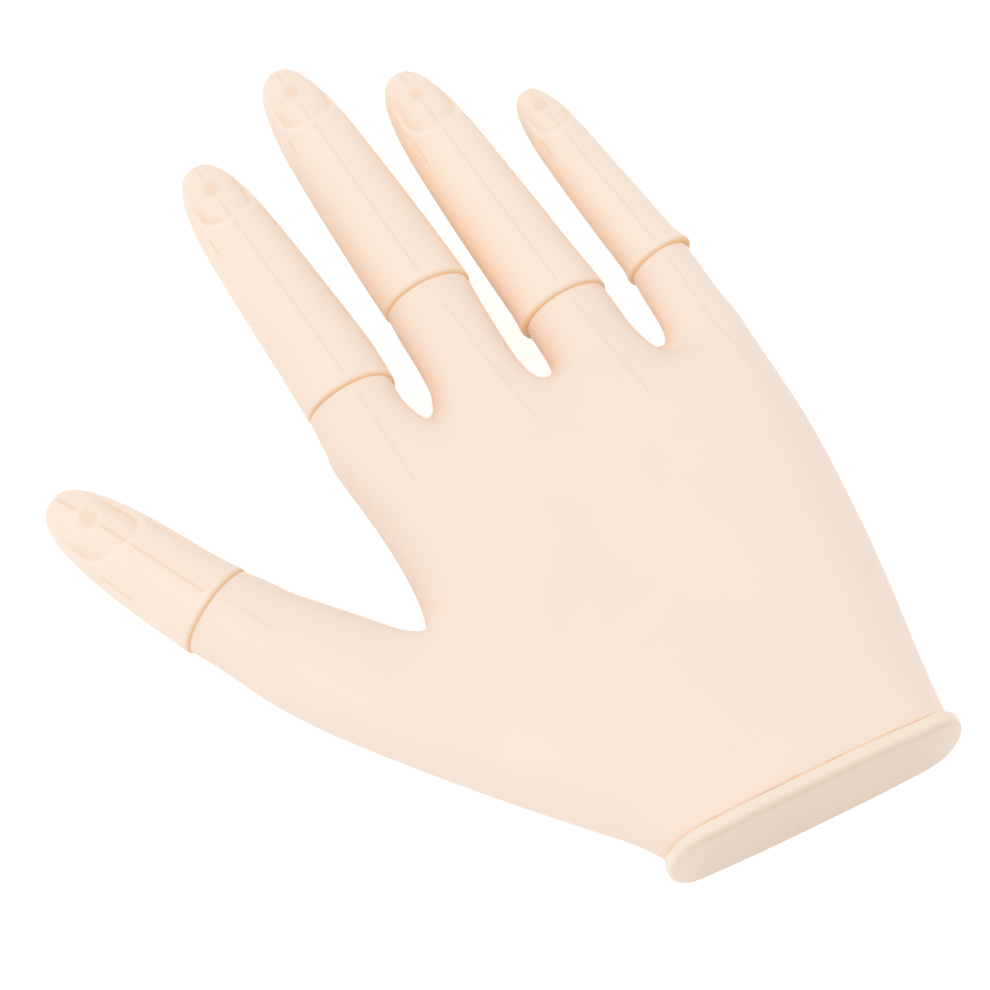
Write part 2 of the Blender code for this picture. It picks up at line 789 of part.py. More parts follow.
def bone_ring(finger, distance, share=1.0):
    """An oval ring of a bone's surface."""
    frame = finger.frame(distance)
    points = []
    for i in range(BONE_SIDES):
        angle = math.tau * i / BONE_SIDES
        across = finger.bone_width * share * math.sin(angle)
        points.append(frame @ Vector((across, 0, finger.bone_height * share * math.cos(angle))))
    return points


def rounded_slab(finger, joint, away, length, low, high):
    """A slab with a round end about a pin, from a low to a high place aside.

    away is 1 where the round end points to the fingertip, as on a fork, and -1 on a tongue.
    """
    reach = hinge_reach(finger)
    outline = []
    for i in range(EAR_STEPS + 1):
        angle = math.pi * i / EAR_STEPS
        outline.append((-reach * math.cos(angle), away * reach * math.sin(angle)))
    outline += [(reach, -away * length), (-reach, -away * length)]
    middle = Matrix.Translation((0, 0, (low + high) / 2))
    return extruded("slab", outline, high - low, finger.frame(joint) @ ACROSS @ middle)


def pin_hole(finger, joint):
    radius = PIN_RADIUS + SEAT
    length = finger.half_width
    profile = ((radius, length), (radius, -length))
    return helper("pin_hole", turned("pin_hole", profile, finger.frame(joint) @ ACROSS))


def ear_places():
    near = TONGUE / 2 + SEAT
    return near, near + EAR


def add_fork(target, finger, joint):
    """Joins two ears to a body that ends just behind the tongue's sweep."""
    near, far = ear_places()
    length = hinge_reach(finger) + SEAT + HINGE_ROOT
    for low, high in ((near, far), (-far, -near)):
        combine(target, helper("ear", rounded_slab(finger, joint, 1, length, low, high)), "UNION")
    combine(target, pin_hole(finger, joint), "DIFFERENCE")


def add_tongue(target, finger, joint):
    length = hinge_reach(finger) + SEAT + HINGE_ROOT
    tongue = helper("tongue", rounded_slab(finger, joint, -1, length, -TONGUE / 2, TONGUE / 2))
    combine(target, tongue, "UNION")
    combine(target, pin_hole(finger, joint), "DIFFERENCE")


def bone_rings(finger, start, end, is_tip):
    """The rings of a bone's body. A fingertip's bone narrows to its end."""
    if not is_tip:
        return [bone_ring(finger, start), bone_ring(finger, end)]
    places = [lerp(start, end, share) for share in TIP_RINGS_SHARES]
    shares = [min(1.0, TIP_BONE_SHARE * finger.shares(place)) for place in places[:-1]]
    shares.append(shares[-1] * TIP_END_SHARE)
    return [bone_ring(finger, place, share) for place, share in zip(places, shares)]


def joint_empties(finger):
    """An empty on each hinge's axis, the next one carried by the one before, whose X is the pin's line."""
    empties = []
    for number, joint in enumerate(finger.joints):
        empty = bpy.data.objects.new(f"{finger.name}_joint_{number + 1}", None)
        hand.objects.link(empty)
        empty.matrix_basis = finger.frame(joint)
        if empties:
            hang(empty, empties[-1], finger.frame(finger.joints[number - 1]))
        empties.append(empty)
    return empties


def hang(obj, empty, frame):
    """Makes an object turn with an empty whose frame at rest is given."""
    obj.parent = empty
    obj.matrix_parent_inverse = frame.inverted()


def make_bones(finger, empties):
    clear = hinge_reach(finger) + SEAT
    names = BONE_NAMES if len(finger.joints) == len(BONE_NAMES) else THUMB_BONE_NAMES
    for number, name in enumerate(names):
        is_tip = number == len(names) - 1
        start = finger.joints[number] + clear
        end = finger.sleeve * BONE_END_SHARE if is_tip else finger.joints[number + 1] - clear
        mesh = loft(name, bone_rings(finger, start, end, is_tip))
        bone = add_object(f"{finger.name}_{name}", mesh, hand, bone_material)
        add_tongue(bone, finger, finger.joints[number])
        if not is_tip:
            add_fork(bone, finger, finger.joints[number + 1])
        settle(bone)
        hang(bone, empties[number], finger.frame(finger.joints[number]))


def make_pins(finger, empties):
    """The pins. The first sits in the core's fork, and each other one in the fork of the bone before it."""
    half = ear_places()[1] + SEAT
    profile = (
        (PIN_HEAD_RADIUS, half + PIN_HEAD),
        (PIN_HEAD_RADIUS, half),
        (PIN_RADIUS, half),
        (PIN_RADIUS, -half),
        (PIN_HEAD_RADIUS, -half),
        (PIN_HEAD_RADIUS, -half - PIN_HEAD),
    )
    names = PIN_NAMES if len(finger.joints) == len(PIN_NAMES) else THUMB_PIN_NAMES
    for number, (name, joint) in enumerate(zip(names, finger.joints)):
        mesh = turned(name, profile, finger.frame(joint) @ ACROSS)
        pin = add_object(f"{finger.name}_{name}", mesh, hand, pin_material)
        if number:
            hang(pin, empties[number - 1], finger.frame(finger.joints[number - 1]))


# Where the core's bars leave the hub, as shares of the hub's width
BAR_ROOTS_SHARES = {"thumb": -0.36, "index": -0.3, "middle": -0.12, "ring": 0.12, "little": 0.3}
HUB_START_SHARE = 0.4
BAR_TAPER_SHARES = (1.1, 0.8)
BAR_HEEL = 3.0 * MM


def bar_mesh(finger):
    """A tapering bar from the hub to the body of a finger's first hinge."""
    x = HUB_WIDTH * BAR_ROOTS_SHARES[finger.name]
    y = spigot_end() + SEAT + HUB_LENGTH * HUB_START_SHARE
    end = finger.joints[0] - hinge_reach(finger) - SEAT - BAR_HEEL / 2
    far = finger.frame(end)
    near = Matrix.Translation((x, y, 0)) @ far.to_3x3().to_4x4()
    corners = ((-1, -1), (1, -1), (1, 1), (-1, 1))
    rings = []
    for place, share in zip((near, far), BAR_TAPER_SHARES):
        width, height = BAR_HALF_WIDTH * share, BAR_HALF_HEIGHT * share
        width, height = min(width, finger.bone_width), min(height, finger.bone_height)
        rings.append([place @ Vector((width * side, 0, height * up)) for side, up in corners])
    return loft("bar", rings)


def make_palm_core():
    hub_middle = (0, spigot_end() + SEAT + HUB_LENGTH / 2, 0)
    hub = block("palm_core", (HUB_WIDTH, HUB_LENGTH, HUB_THICKNESS), hub_middle)
    core = add_object("palm_core", hub, hand, core_material)
    tab_length = SOCKET_DEPTH + SEAT + HUB_LENGTH / 2
    tab_middle = (0, spigot_end() - SOCKET_DEPTH + tab_length / 2, 0)
    combine(core, helper("tab", block("tab", (TAB_WIDTH, tab_length, TAB_THICKNESS), tab_middle)), "UNION")
    for finger in DIGITS:
        combine(core, helper("bar", bar_mesh(finger)), "UNION")
        end = finger.joints[0] - hinge_reach(finger) - SEAT
        heel = loft("heel", [bone_ring(finger, end - BAR_HEEL), bone_ring(finger, end)])
        combine(core, helper("heel", heel), "UNION")
        add_fork(core, finger, finger.joints[0])
    for place in screw_places():
        hole = ((SCREW_RADIUS + SEAT, 2 * spigot_half()), (SCREW_RADIUS + SEAT, 0))
        combine(core, helper("screw_hole", turned("screw_hole", hole, place)), "DIFFERENCE")
    settle(core)


# Run it
clear_scene()
hand = new_collection("nail_practice_hand")
helpers = new_collection("helpers")
palm_material = plastic("palm_vinyl", (0.94, 0.78, 0.67), 0.5)
sleeve_material = plastic("sleeve_vinyl", (0.95, 0.79, 0.66), 0.5)
plug_material = plastic("plug_plastic", (0.83, 0.65, 0.52), 0.45)
core_material = plastic("core_plastic", (0.80, 0.80, 0.77), 0.4)
bone_material = plastic("bone_plastic", (0.85, 0.85, 0.82), 0.4)
pin_material = plastic("pin_steel", (0.6, 0.6, 0.62), 0.3, 1.0)
screw_material = plastic("screw_steel", (0.55, 0.55, 0.57), 0.35, 1.0)

make_palm_skin()
make_wrist_plug()
make_plug_screws()
make_palm_core()
for digit in DIGITS:
    joint_axes = joint_empties(digit)
    sleeve = make_sleeve(digit)
    hang(sleeve, joint_axes[0], digit.frame(digit.joints[0]))
    make_bones(digit, joint_axes)
    make_pins(digit, joint_axes)
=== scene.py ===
"""Looks of the nail practice hand: a soft hollow right hand, palm down, with five replaceable finger sleeves.

All places are in the frame of the solids, in metres: the origin is the centre of the wrist plug's outer face,
+Y runs along the hand to the fingertips, +Z comes out of its back, and the thumb is on the -X side.
"""

import math
from dataclasses import dataclass

import bmesh
import bpy
import numpy as np
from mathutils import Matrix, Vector


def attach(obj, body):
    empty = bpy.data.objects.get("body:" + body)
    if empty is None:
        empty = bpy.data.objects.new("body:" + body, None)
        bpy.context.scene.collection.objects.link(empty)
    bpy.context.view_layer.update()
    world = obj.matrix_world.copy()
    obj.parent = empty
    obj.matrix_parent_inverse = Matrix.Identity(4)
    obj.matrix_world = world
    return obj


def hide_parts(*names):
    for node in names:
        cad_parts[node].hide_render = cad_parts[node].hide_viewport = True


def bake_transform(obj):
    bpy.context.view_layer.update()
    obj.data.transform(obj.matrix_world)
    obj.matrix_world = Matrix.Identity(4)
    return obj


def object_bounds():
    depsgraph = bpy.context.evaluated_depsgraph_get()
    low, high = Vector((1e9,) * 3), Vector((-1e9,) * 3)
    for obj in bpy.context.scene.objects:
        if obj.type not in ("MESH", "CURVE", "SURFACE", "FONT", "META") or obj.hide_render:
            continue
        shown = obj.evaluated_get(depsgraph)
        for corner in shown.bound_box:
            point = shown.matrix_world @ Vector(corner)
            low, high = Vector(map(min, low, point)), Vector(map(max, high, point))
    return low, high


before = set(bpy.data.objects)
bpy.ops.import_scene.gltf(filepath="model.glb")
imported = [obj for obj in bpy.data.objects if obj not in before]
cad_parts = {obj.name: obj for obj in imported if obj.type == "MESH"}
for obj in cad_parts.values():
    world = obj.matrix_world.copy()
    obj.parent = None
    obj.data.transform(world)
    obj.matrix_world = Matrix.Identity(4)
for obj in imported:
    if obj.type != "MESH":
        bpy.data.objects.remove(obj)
frame_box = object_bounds()

MM = 0.001
DEGREE = math.radians(1)

# The palm and the wrist, as in the solids
PALM_LENGTH = 103.0 * MM
PALM_WIDTH = 89.0 * MM
PALM_THICKNESS = 24.0 * MM
WRIST_WIDTH = 62.4 * MM
WRIST_THICKNESS = 21.8 * MM
SKIN_WALL = 1.2 * MM
FLANGE_THICKNESS = 3.2 * MM
FLANGE_LIP = 1.2 * MM
SPIGOT_DEPTH = 13.0 * MM
SPIGOT_TAPER = 0.8 * MM
SPIGOT_END = FLANGE_THICKNESS + SPIGOT_DEPTH
SOCKET_DEPTH = 10.0 * MM
TAB_WIDTH = 30.0 * MM
TAB_THICKNESS = 7.0 * MM
SCREW_RADIUS = 1.25 * MM
SCREW_HEAD_RADIUS = 2.4 * MM
SCREW_HEAD = 1.4 * MM
SCREW_SPACING = 18.0 * MM
SCREW_BITE = 2.5 * MM
SEAT = 0.3 * MM
SLIP = 0.3 * MM
SPIGOT_SLIP = 0.6 * MM
OVERRUN = 2.0 * MM

# The finger sleeves and the necks that they are pushed on to, as in the solids
SLEEVE_WALL = 1.2 * MM
TIP_WALL = 2.6 * MM
STEP = 0.35 * MM
SEAM_GAP = 0.5 * MM
NECK_LENGTH = 4.5 * MM
TIP_LIFT = 1.2 * MM
FINGER_RISE = 1.0 * MM

# The finer form of the sleeves
RIM_ROUND = 1.2 * MM
RIM_ROWS = 8
SEAM_INSIDE = SEAM_GAP * 0.92
RIM_DROP = 0.5 * MM
FLUSH_LENGTH = 12.0 * MM
TURN_LENGTH = 9.0 * MM
END_REACH_SHARE = 1.3
# How far from the sleeve's edge the painted shade and glow of its rim reach, standing for the shadowed seam
# gap and light through the thin vinyl
GLOW_REACH = 1.5 * MM
ROW_STEP = 0.8 * MM
FINE_STEP = 0.25 * MM
LINE_COLUMN_STEP = 0.1 * MM
LINE_COLUMNS = 4
BACK_ANGLE = 66 * DEGREE
BACK_STEP_ANGLE = 1.7 * DEGREE
FAR_STEP_ANGLE = 6 * DEGREE
INNER_ROWS = 14
TIP_STEPS = 4000
TIP_CROWDING = 0.25
SIDE_STEPS = 200

# The nail bed, its cuticle and the marks of the mould
NAIL_DEPTH = 0.6 * MM
NAIL_MIDDLE_SHARE = 0.3
NAIL_ANGLE = 56 * DEGREE
NAIL_POWER = 2.6
NAIL_EDGE = 0.75 * MM
NAIL_FADE = (4.5 * MM, 15.0 * MM)
CUTICLE_RIM = 0.18 * MM
CUTICLE_RIM_WIDTH = 1.3 * MM
# How strong the painted highlight on the cuticle's raised rim is
CUTICLE_HIGHLIGHT_SHARE = 0.42
DIMPLE_DEPTH = 0.35 * MM
DIMPLE_EDGE_SHARES = (0.55, 1.35)
# How strong the painted shade and glow in the sunk dimple are
DIMPLE_GLOW = 0.3
LINE_DEPTH = 0.09 * MM
LINE_SPREAD = 0.28 * MM
BED_LINE_SPREAD = 0.34 * MM
SIDE_LINE_DEPTH = 0.14 * MM
# How strong the painted shade and glow along the sunk side lines and in the bed's corners are
SIDE_GLOW = 0.4
LINE_CLEAR_SHARES = (1.2, 2.0)
LINE_TIP_FADE = (0.6 * MM, 2.5 * MM)
STUB_LINE_HEIGHT = 0.1 * MM
STUB_LINE_SPREAD = 0.3 * MM
# How strong the painted shade along the stubs' raised parting lines is
STUB_LINE_SHADE_SHARE = 0.6
STUB_LINE_CUTS = (-0.7 * MM, -0.4 * MM, -0.25 * MM, -0.12 * MM, 0.0, 0.12 * MM, 0.25 * MM, 0.4 * MM, 0.7 * MM)
LINE_FADE = 2.5 * MM

# Bend ranges: how far a bend's range reaches to each side of its joint, as a share of the finger's half
# height. The stubs are cut and the sleeves split by these ranges
BEND_SHARE = 0.95
TIP_BEND_SHARE = 0.6

# The meshes: tolerances, the least sum of a normal's parts, and how fine the palm's net becomes
SHARP_ANGLE = 60 * DEGREE
MERGE = 0.01 * MM
TINY = 0.001 * MM
NORMAL_SUM = 0.5
RING_POINTS = 8
CAGE_OVER = 1 / math.cos(math.pi / RING_POINTS)
FIRST_LEVELS = 1
FINE_LEVELS = 2
TIGHTEN_STEPS = 4


def clamp(value, low=0.0, high=1.0):
    return np.minimum(np.maximum(value, low), high)


def smooth(value, low, high):
    """Goes smoothly from 0 at low to 1 at high."""
    t = clamp((value - low) / (high - low))
    return t * t * (3 - 2 * t)


def bell(value, spread):
    return np.exp(-((value / spread) ** 2))


def lerp(a, b, share):
    return a + (b - a) * share


@dataclass
class Finger:
    """One finger, measured along its axis from the seam where its sleeve begins.

    web is where the web beside it ends, so the range of a stub's bend, where its surface is cut, starts only
    beyond it. Angles are from the middle of its back, and behind means behind the fingertip: nail_start and
    nail are where the bed's sides end and its cuticle is. Each flare is an angle, how far the sleeve's mouth
    is wider there, and how far along.
    """

    name: str
    seam_shares: tuple
    lean: float
    stub: float
    sleeve: float
    width: float
    height: float
    dome: float
    slope: float
    taper: float
    joints: tuple
    web: float
    nail_start: float
    nail: float
    dimple: float
    dimple_radius: float
    line_angle: float
    side_line: tuple
    stub_line: tuple
    roll: float = 0.0
    skew: float = 0.0
    flares: tuple = ()
    flush: tuple = (0.3 * MM, 0.0)
    seam_back: tuple = (0.0, 0.0)
    # How strong the painted shade and glow along the sunk centre line are
    line_glow: float = 0.22
    cut_side: float = 3.5 * MM

    def __post_init__(self):
        self.half_width = self.width / 2
        self.half_height = self.height / 2
        self.along = Vector((-math.sin(self.lean), math.cos(self.lean), 0))
        self.side = Vector((math.cos(self.lean), math.sin(self.lean), 0))
        self.up = Vector((0, 0, 1))
        across, forward = self.seam_shares
        self.seam = Vector((PALM_WIDTH * across, FLANGE_THICKNESS + PALM_LENGTH * forward, FINGER_RISE))
        reach = self.half_height * BEND_SHARE
        self.root_bend = max(self.joints[0] - reach, self.web), min(self.joints[0] + reach, -SEAM_GAP)
        self.base_bend = self.joints[1] - reach, self.joints[1] + reach
        reach = self.half_height * TIP_BEND_SHARE
        self.tip_bend = self.joints[-1] - reach, self.joints[-1] + reach
        self.split = (self.base_bend[1] + self.tip_bend[0]) / 2

    def place(self, distance, aside=0.0, above=0.0):
        return self.seam + self.along * distance + self.side * aside + self.up * above

    def measure(self, point):
        """A point's distance along the finger, to its side and above its axis."""
        offset = Vector(point) - self.seam
        return offset.dot(self.along), offset.dot(self.side), offset.z

    def shares(self, distance):
        """Width and height left at these distances, as a share of those at the seam."""
        way = clamp(distance / self.sleeve)
        dome = clamp(1 - (self.sleeve - distance) / self.dome)
        return (1 - self.slope * way - self.taper * way**2) * (1 - dome**3) ** (1 / 3)

    def lift(self, distance):
        return TIP_LIFT * clamp(distance / self.sleeve) ** 3

    def seam_shift(self, aside_share):
        """How far the seam lies back towards the palm, which differs from its left end to its right one."""
        left, right = self.seam_back
        return lerp(left, right, (clamp(aside_share, -1.0, 1.0) + 1) / 2)

    def grid(self, distances, angles, insets):
        """Points on the finger's form, a row for each distance and a column for each angle."""
        distances = np.asarray(distances)[:, None]
        insets = np.broadcast_to(insets, (len(distances), len(angles)))
        share = self.shares(distances)
        across = (self.half_width * share - insets) * np.sin(angles)
        above = (self.half_height * share - insets) * np.cos(angles) + self.lift(distances)
        along = distances - self.seam_shift(np.sin(angles)) * (1 - smooth(distances, 0.0, TURN_LENGTH))
        axes = np.array((self.side, self.along, self.up))
        return np.array(self.seam) + np.stack((across, along, above), axis=-1) @ axes


INDEX = Finger(
    "index",
    seam_shares=(-0.466, 1.130),
    lean=6.0 * DEGREE,
    stub=10.2 * MM,
    sleeve=62.4 * MM,
    width=19.6 * MM,
    height=18.9 * MM,
    dome=23.6 * MM,
    slope=0.112,
    taper=0.200,
    joints=(-6.5 * MM, 10.0 * MM, 33.0 * MM),
    web=-10.0 * MM,
    nail_start=10.0 * MM,
    nail=17.0 * MM,
    dimple=8.4 * MM,
    dimple_radius=1.85 * MM,
    line_angle=-4.5 * DEGREE,
    side_line=(16.6 * MM, 23.6 * MM),
    stub_line=((-1.0 * MM, -0.8 * MM), (-30.0 * MM, -1.8 * MM)),
    flares=((-90 * DEGREE, 0.45 * MM, 9.0 * MM), (90 * DEGREE, -0.8 * MM, 5.0 * MM)),
    flush=(1.15 * MM, -1.15 * MM),
    seam_back=(0.0, 2.0 * MM),
)
MIDDLE = Finger(
    "middle",
    seam_shares=(-0.201, 1.272),
    lean=4.9 * DEGREE,
    stub=27.4 * MM,
    sleeve=61.0 * MM,
    width=19.1 * MM,
    height=18.6 * MM,
    dome=25.7 * MM,
    slope=0.095,
    taper=0.190,
    joints=(-21.0 * MM, 10.0 * MM, 33.0 * MM),
    web=-22.5 * MM,
    nail_start=10.0 * MM,
    nail=17.0 * MM,
    dimple=8.2 * MM,
    dimple_radius=1.6 * MM,
    line_angle=-4.5 * DEGREE,
    side_line=(16.4 * MM, 23.0 * MM),
    stub_line=((-4.0 * MM, -0.4 * MM), (-43.0 * MM, 1.5 * MM)),
    seam_back=(0.4 * MM, 2.2 * MM),
)
RING = Finger(
    "ring",
    seam_shares=(0.066, 1.121),
    lean=5.7 * DEGREE,
    stub=16.2 * MM,
    sleeve=64.7 * MM,
    width=18.9 * MM,
    height=18.2 * MM,
    dome=24.5 * MM,
    slope=0.104,
    taper=0.192,
    joints=(-10.5 * MM, 10.0 * MM, 34.0 * MM),
    web=-10.6 * MM,
    nail_start=10.5 * MM,
    nail=17.6 * MM,
    dimple=8.4 * MM,
    dimple_radius=1.55 * MM,
    line_angle=-1.5 * DEGREE,
    side_line=(16.4 * MM, 25.0 * MM),
    stub_line=((-1.0 * MM, 0.0), (-33.0 * MM, 0.9 * MM)),
    flares=((-90 * DEGREE, 0.5 * MM, 3.0 * MM), (90 * DEGREE, 0.4 * MM, 7.0 * MM)),
    flush=(0.0, 0.3 * MM),
    seam_back=(0.0, 1.1 * MM),
)
LITTLE = Finger(
    "little",
    seam_shares=(0.319, 1.131),
    lean=8.0 * DEGREE,
    stub=20.0 * MM,
    sleeve=48.3 * MM,
    width=13.7 * MM,
    height=13.3 * MM,
    dome=18.8 * MM,
    slope=0.138,
    taper=0.146,
    joints=(-14.5 * MM, 10.6 * MM, 26.8 * MM),
    web=-14.9 * MM,
    nail_start=7.2 * MM,
    nail=13.4 * MM,
    dimple=6.0 * MM,
    dimple_radius=1.6 * MM,
    line_angle=0.5 * DEGREE,
    side_line=(12.6 * MM, 18.6 * MM),
    stub_line=((-2.0 * MM, 0.0), (-37.0 * MM, -2.5 * MM)),
    flares=((-90 * DEGREE, 0.65 * MM, 2.5 * MM), (80 * DEGREE, 1.0 * MM, 2.8 * MM)),
    flush=(0.5 * MM, 0.2 * MM),
    seam_back=(0.4 * MM, 0.8 * MM),
    cut_side=4.5 * MM,
)
THUMB = Finger(
    "thumb",
    seam_shares=(-0.973, 0.837),
    lean=27.9 * DEGREE,
    stub=36.0 * MM,
    sleeve=40.3 * MM,
    width=19.3 * MM,
    height=18.4 * MM,
    dome=27.0 * MM,
    slope=0.105,
    taper=0.115,
    joints=(-14.0 * MM, 10.0 * MM),
    web=-30.0 * MM,
    nail_start=11.0 * MM,
    nail=19.5 * MM,
    dimple=10.0 * MM,
    dimple_radius=2.0 * MM,
    line_angle=-4.0 * DEGREE,
    side_line=(18.0 * MM, 28.0 * MM),
    stub_line=((-2.0 * MM, 0.2 * MM), (-17.5 * MM, 0.9 * MM)),
    roll=-12 * DEGREE,
    skew=2.4 * MM,
    flares=((90 * DEGREE, 0.6 * MM, 4.0 * MM),),
    flush=(0.0, 1.15 * MM),
    seam_back=(0.8 * MM, 0.6 * MM),
    line_glow=0.45,
    cut_side=9.0 * MM,
)
FINGERS = (INDEX, MIDDLE, RING, LITTLE)
DIGITS = (THUMB, *FINGERS)


# Scene and modelling helpers
def new_collection(name):
    collection = bpy.data.collections.new(name)
    bpy.context.scene.collection.children.link(collection)
    return collection


def add_object(name, mesh, collection, material=None):
    obj = bpy.data.objects.new(name, mesh)
    collection.objects.link(obj)
    if material:
        mesh.materials.clear()
        mesh.materials.append(material)
    shade(mesh)
    return obj


def shade(mesh):
    mesh.shade_smooth()
    mesh.set_sharp_from_angle(angle=SHARP_ANGLE)


def helper(name, mesh):
    """A cutter or another helper, which isn't a piece of the hand."""
    obj = add_object(name, mesh, helpers)
    obj.hide_render = True
    return obj


def as_mesh(shape, name):
    """Makes a bmesh's mesh, and frees the bmesh."""
    mesh = bpy.data.meshes.new(name)
    shape.to_mesh(mesh)
    shape.free()
    return mesh


def applied(obj):
    bpy.context.view_layer.update()
    graph = bpy.context.evaluated_depsgraph_get()
    return bpy.data.meshes.new_from_object(obj.evaluated_get(graph))


def settle(obj):
    """Makes an object's modifiers real."""
    mesh = applied(obj)
    obj.modifiers.clear()
    obj.data = mesh
    shade(mesh)


def cut_away(target, cutter):
    modifier = target.modifiers.new("Cut", "BOOLEAN")
    modifier.operation = "DIFFERENCE"
    modifier.object = cutter
    modifier.solver = "EXACT"


def read(items, name, width):
    """What each of the items has under a name, as rows of this width."""
    values = np.zeros(len(items) * width)
    items.foreach_get(name, values)
    return values.reshape(-1, width)


def coordinates(mesh):
    return read(mesh.vertices, "co", 3)


def set_coordinates(mesh, values):
    mesh.vertices.foreach_set("co", values.ravel())
    mesh.update()


def add_subdivision(obj, levels):
    modifier = obj.modifiers.new("Smooth form", "SUBSURF")
    modifier.levels = modifier.render_levels = levels


def tighten(obj):
    """Adds finer levels, and moves the corners out until the surface passes through where they were."""
    goal = coordinates(obj.data)
    add_subdivision(obj, FINE_LEVELS)
    for _ in range(TIGHTEN_STEPS):
        reached = coordinates(applied(obj))[: len(goal)]
        set_coordinates(obj.data, coordinates(obj.data) + goal - reached)


def point_values(mesh, name, values):
    attribute = mesh.attributes.new(name, "FLOAT", "POINT")
    attribute.data.foreach_set("value", np.asarray(values, np.float32).ravel())


# The palm skin's control net, as in the solids
LEFT_MID = 0
COLUMNS = 9
RIGHT_MID = COLUMNS + 1
PALM_ROWS_SHARES = (
    (0.067, -0.407, 0.367, 0.450, -0.455),
    (0.167, -0.533, 0.385, 0.465, -0.490),
    (0.357, -0.765, 0.426, 0.480, -0.530),
    (0.567, -0.587, 0.444, 0.490, -0.540),
    (0.707, -0.566, 0.451, 0.480, -0.520),
    (0.867, -0.576, 0.439, 0.455, -0.480),
)
FIRST_THUMB_ROW = 2
WRIST_COLUMNS_SHARES = (0.045, 0.17, 0.28, 0.39, 0.50, 0.61, 0.72, 0.83, 0.955)
WRIST_CROWN_SHARES = (0.90, 0.96, 1.03, 1.04, 1.04, 1.04, 1.03, 0.96, 0.90)
EDGE_COLUMN_SHARE = 0.07
CROWN_SHARES = (0.74, 0.96, 1.03, 1.05, 1.06, 1.05, 1.03, 0.96, 0.74)
WEB_CROWN_SHARE = 0.62
EDGE_OUT_SHARE = 0.012
LITTLE_IN_SHARE = 0.013
# How far the webs lie behind the web line on the hand's back, in their middle and on its palm side, and how
# far each of the three is moved aside and forward. The thumb's web is turned in the same way
WEB_BACK = 8.7 * MM
WEB_SADDLE = 2.2 * MM
WEB_PALM = -2.8 * MM
WEB_MOVES = ((-1.4 * MM, 1.2 * MM), (-2.7 * MM, 4.8 * MM), (-1.0 * MM, 2.0 * MM))
THUMB_WEB_ASIDE = -2.0 * MM
THUMB_WEB_BACK = -1.6 * MM
THUMB_WEB_PALM = -5.0 * MM
ROOT_WIDER = 1.4 * MM
STUB_RINGS_SHARES = {
    "index": ((-0.80, 1.00, 1.00, 0.165, -0.20),),
    "middle": ((-0.80, 1.00, 1.00, 0.17, -0.17), (-0.30, 1.00, 1.00, 0.11, -0.06)),
    "ring": ((-0.80, 1.00, 1.00, 0.09, 0.01), (-0.35, 1.00, 1.00, 0.02, 0.03)),
    "little": ((-0.80, 1.00, 1.00, 0.42, -0.13), (-0.40, 1.00, 1.00, 0.22, -0.03)),
    "thumb": ((-0.77, 0.99, 1.10, 0.08, 0.88), (-0.34, 1.00, 1.03, -0.05, 0.34)),
}


def web_columns():
    """Where the nine columns cross the web line: side, finger, web, finger and so on to the other side."""
    places = []
    for number, finger in enumerate(FINGERS):
        root = finger.place(-finger.stub)
        half = (finger.half_width - STEP) * CAGE_OVER
        left = root - finger.side * (half + ROOT_WIDER)
        right = root + finger.side * half
        if number:
            places[-1] = (places[-1] + left) / 2
        else:
            places.append(left)
        places += [root, right]
    places[-1] -= Vector((LITTLE_IN_SHARE * PALM_WIDTH, 0, 0))
    return places


def row_ring(row_shares, columns_share, front):
    along, left, right, above, below = row_shares
    y = FLANGE_THICKNESS + PALM_LENGTH * along
    left, right = left * PALM_WIDTH, right * PALM_WIDTH
    above, below = above * PALM_THICKNESS, below * PALM_THICKNESS
    return section_ring(y, left, right, above, below, columns_share, front)


def section_ring(y, left, right, above, below, columns_share, front):
    """The control points of a section. Its columns go from the wrist's places to those of the web line."""
    middle = (above + below) / 2
    front_shares = [(p.x - front[0].x) / (front[-1].x - front[0].x) for p in front]
    top, bottom = [], []
    for column in range(COLUMNS):
        share, crown = WRIST_COLUMNS_SHARES[column], WRIST_CROWN_SHARES[column]
        if columns_share:
            share = lerp(share, front_shares[column], columns_share)
            share, crown = min(max(share, EDGE_COLUMN_SHARE), 1 - EDGE_COLUMN_SHARE), CROWN_SHARES[column]
        x = lerp(left, right, share)
        top.append(Vector((x, y, middle + (above - middle) * crown)))
        bottom.append(Vector((x, y, middle + (below - middle) * crown)))
    out = EDGE_OUT_SHARE * (right - left)
    left_mid = Vector((left - out, y, middle))
    right_mid = Vector((right + out, y, middle))
    return [left_mid, *top, right_mid, *bottom[::-1]]


def wrist_ring(outset, y):
    """The skin's control ring at the wrist, grown by an outset."""
    half = WRIST_WIDTH / 2 + outset
    tall = WRIST_THICKNESS / 2 + outset
    return section_ring(y, -half, half, tall, -tall, 0.0, web_columns())


def front_ring(front):
    """The row on the web line, and the points in the middle of the three webs."""
    top, bottom, middles = [], [], []
    for column, place in enumerate(front):
        finger = FINGERS[min(column // 2, len(FINGERS) - 1)]
        tall = Vector((0, 0, finger.half_height * CAGE_OVER))
        back, saddle, palm = 0, 0, 0
        if column % 2 == 0:
            tall *= WEB_CROWN_SHARE
            if 0 < column < COLUMNS - 1:
                place = place + Vector((*WEB_MOVES[column // 2 - 1], 0))
                back, saddle, palm = WEB_BACK, WEB_SADDLE, WEB_PALM
            middles.append(place - Vector((0, saddle, 0)))
        top.append(place + tall - Vector((0, back, 0)))
        bottom.append(place - tall - Vector((0, palm, 0)))
    left_mid = middles[0] - Vector((EDGE_OUT_SHARE * PALM_WIDTH, 0, 0))
    return [left_mid, *top, middles[-1], *bottom[::-1]], middles[1:-1]


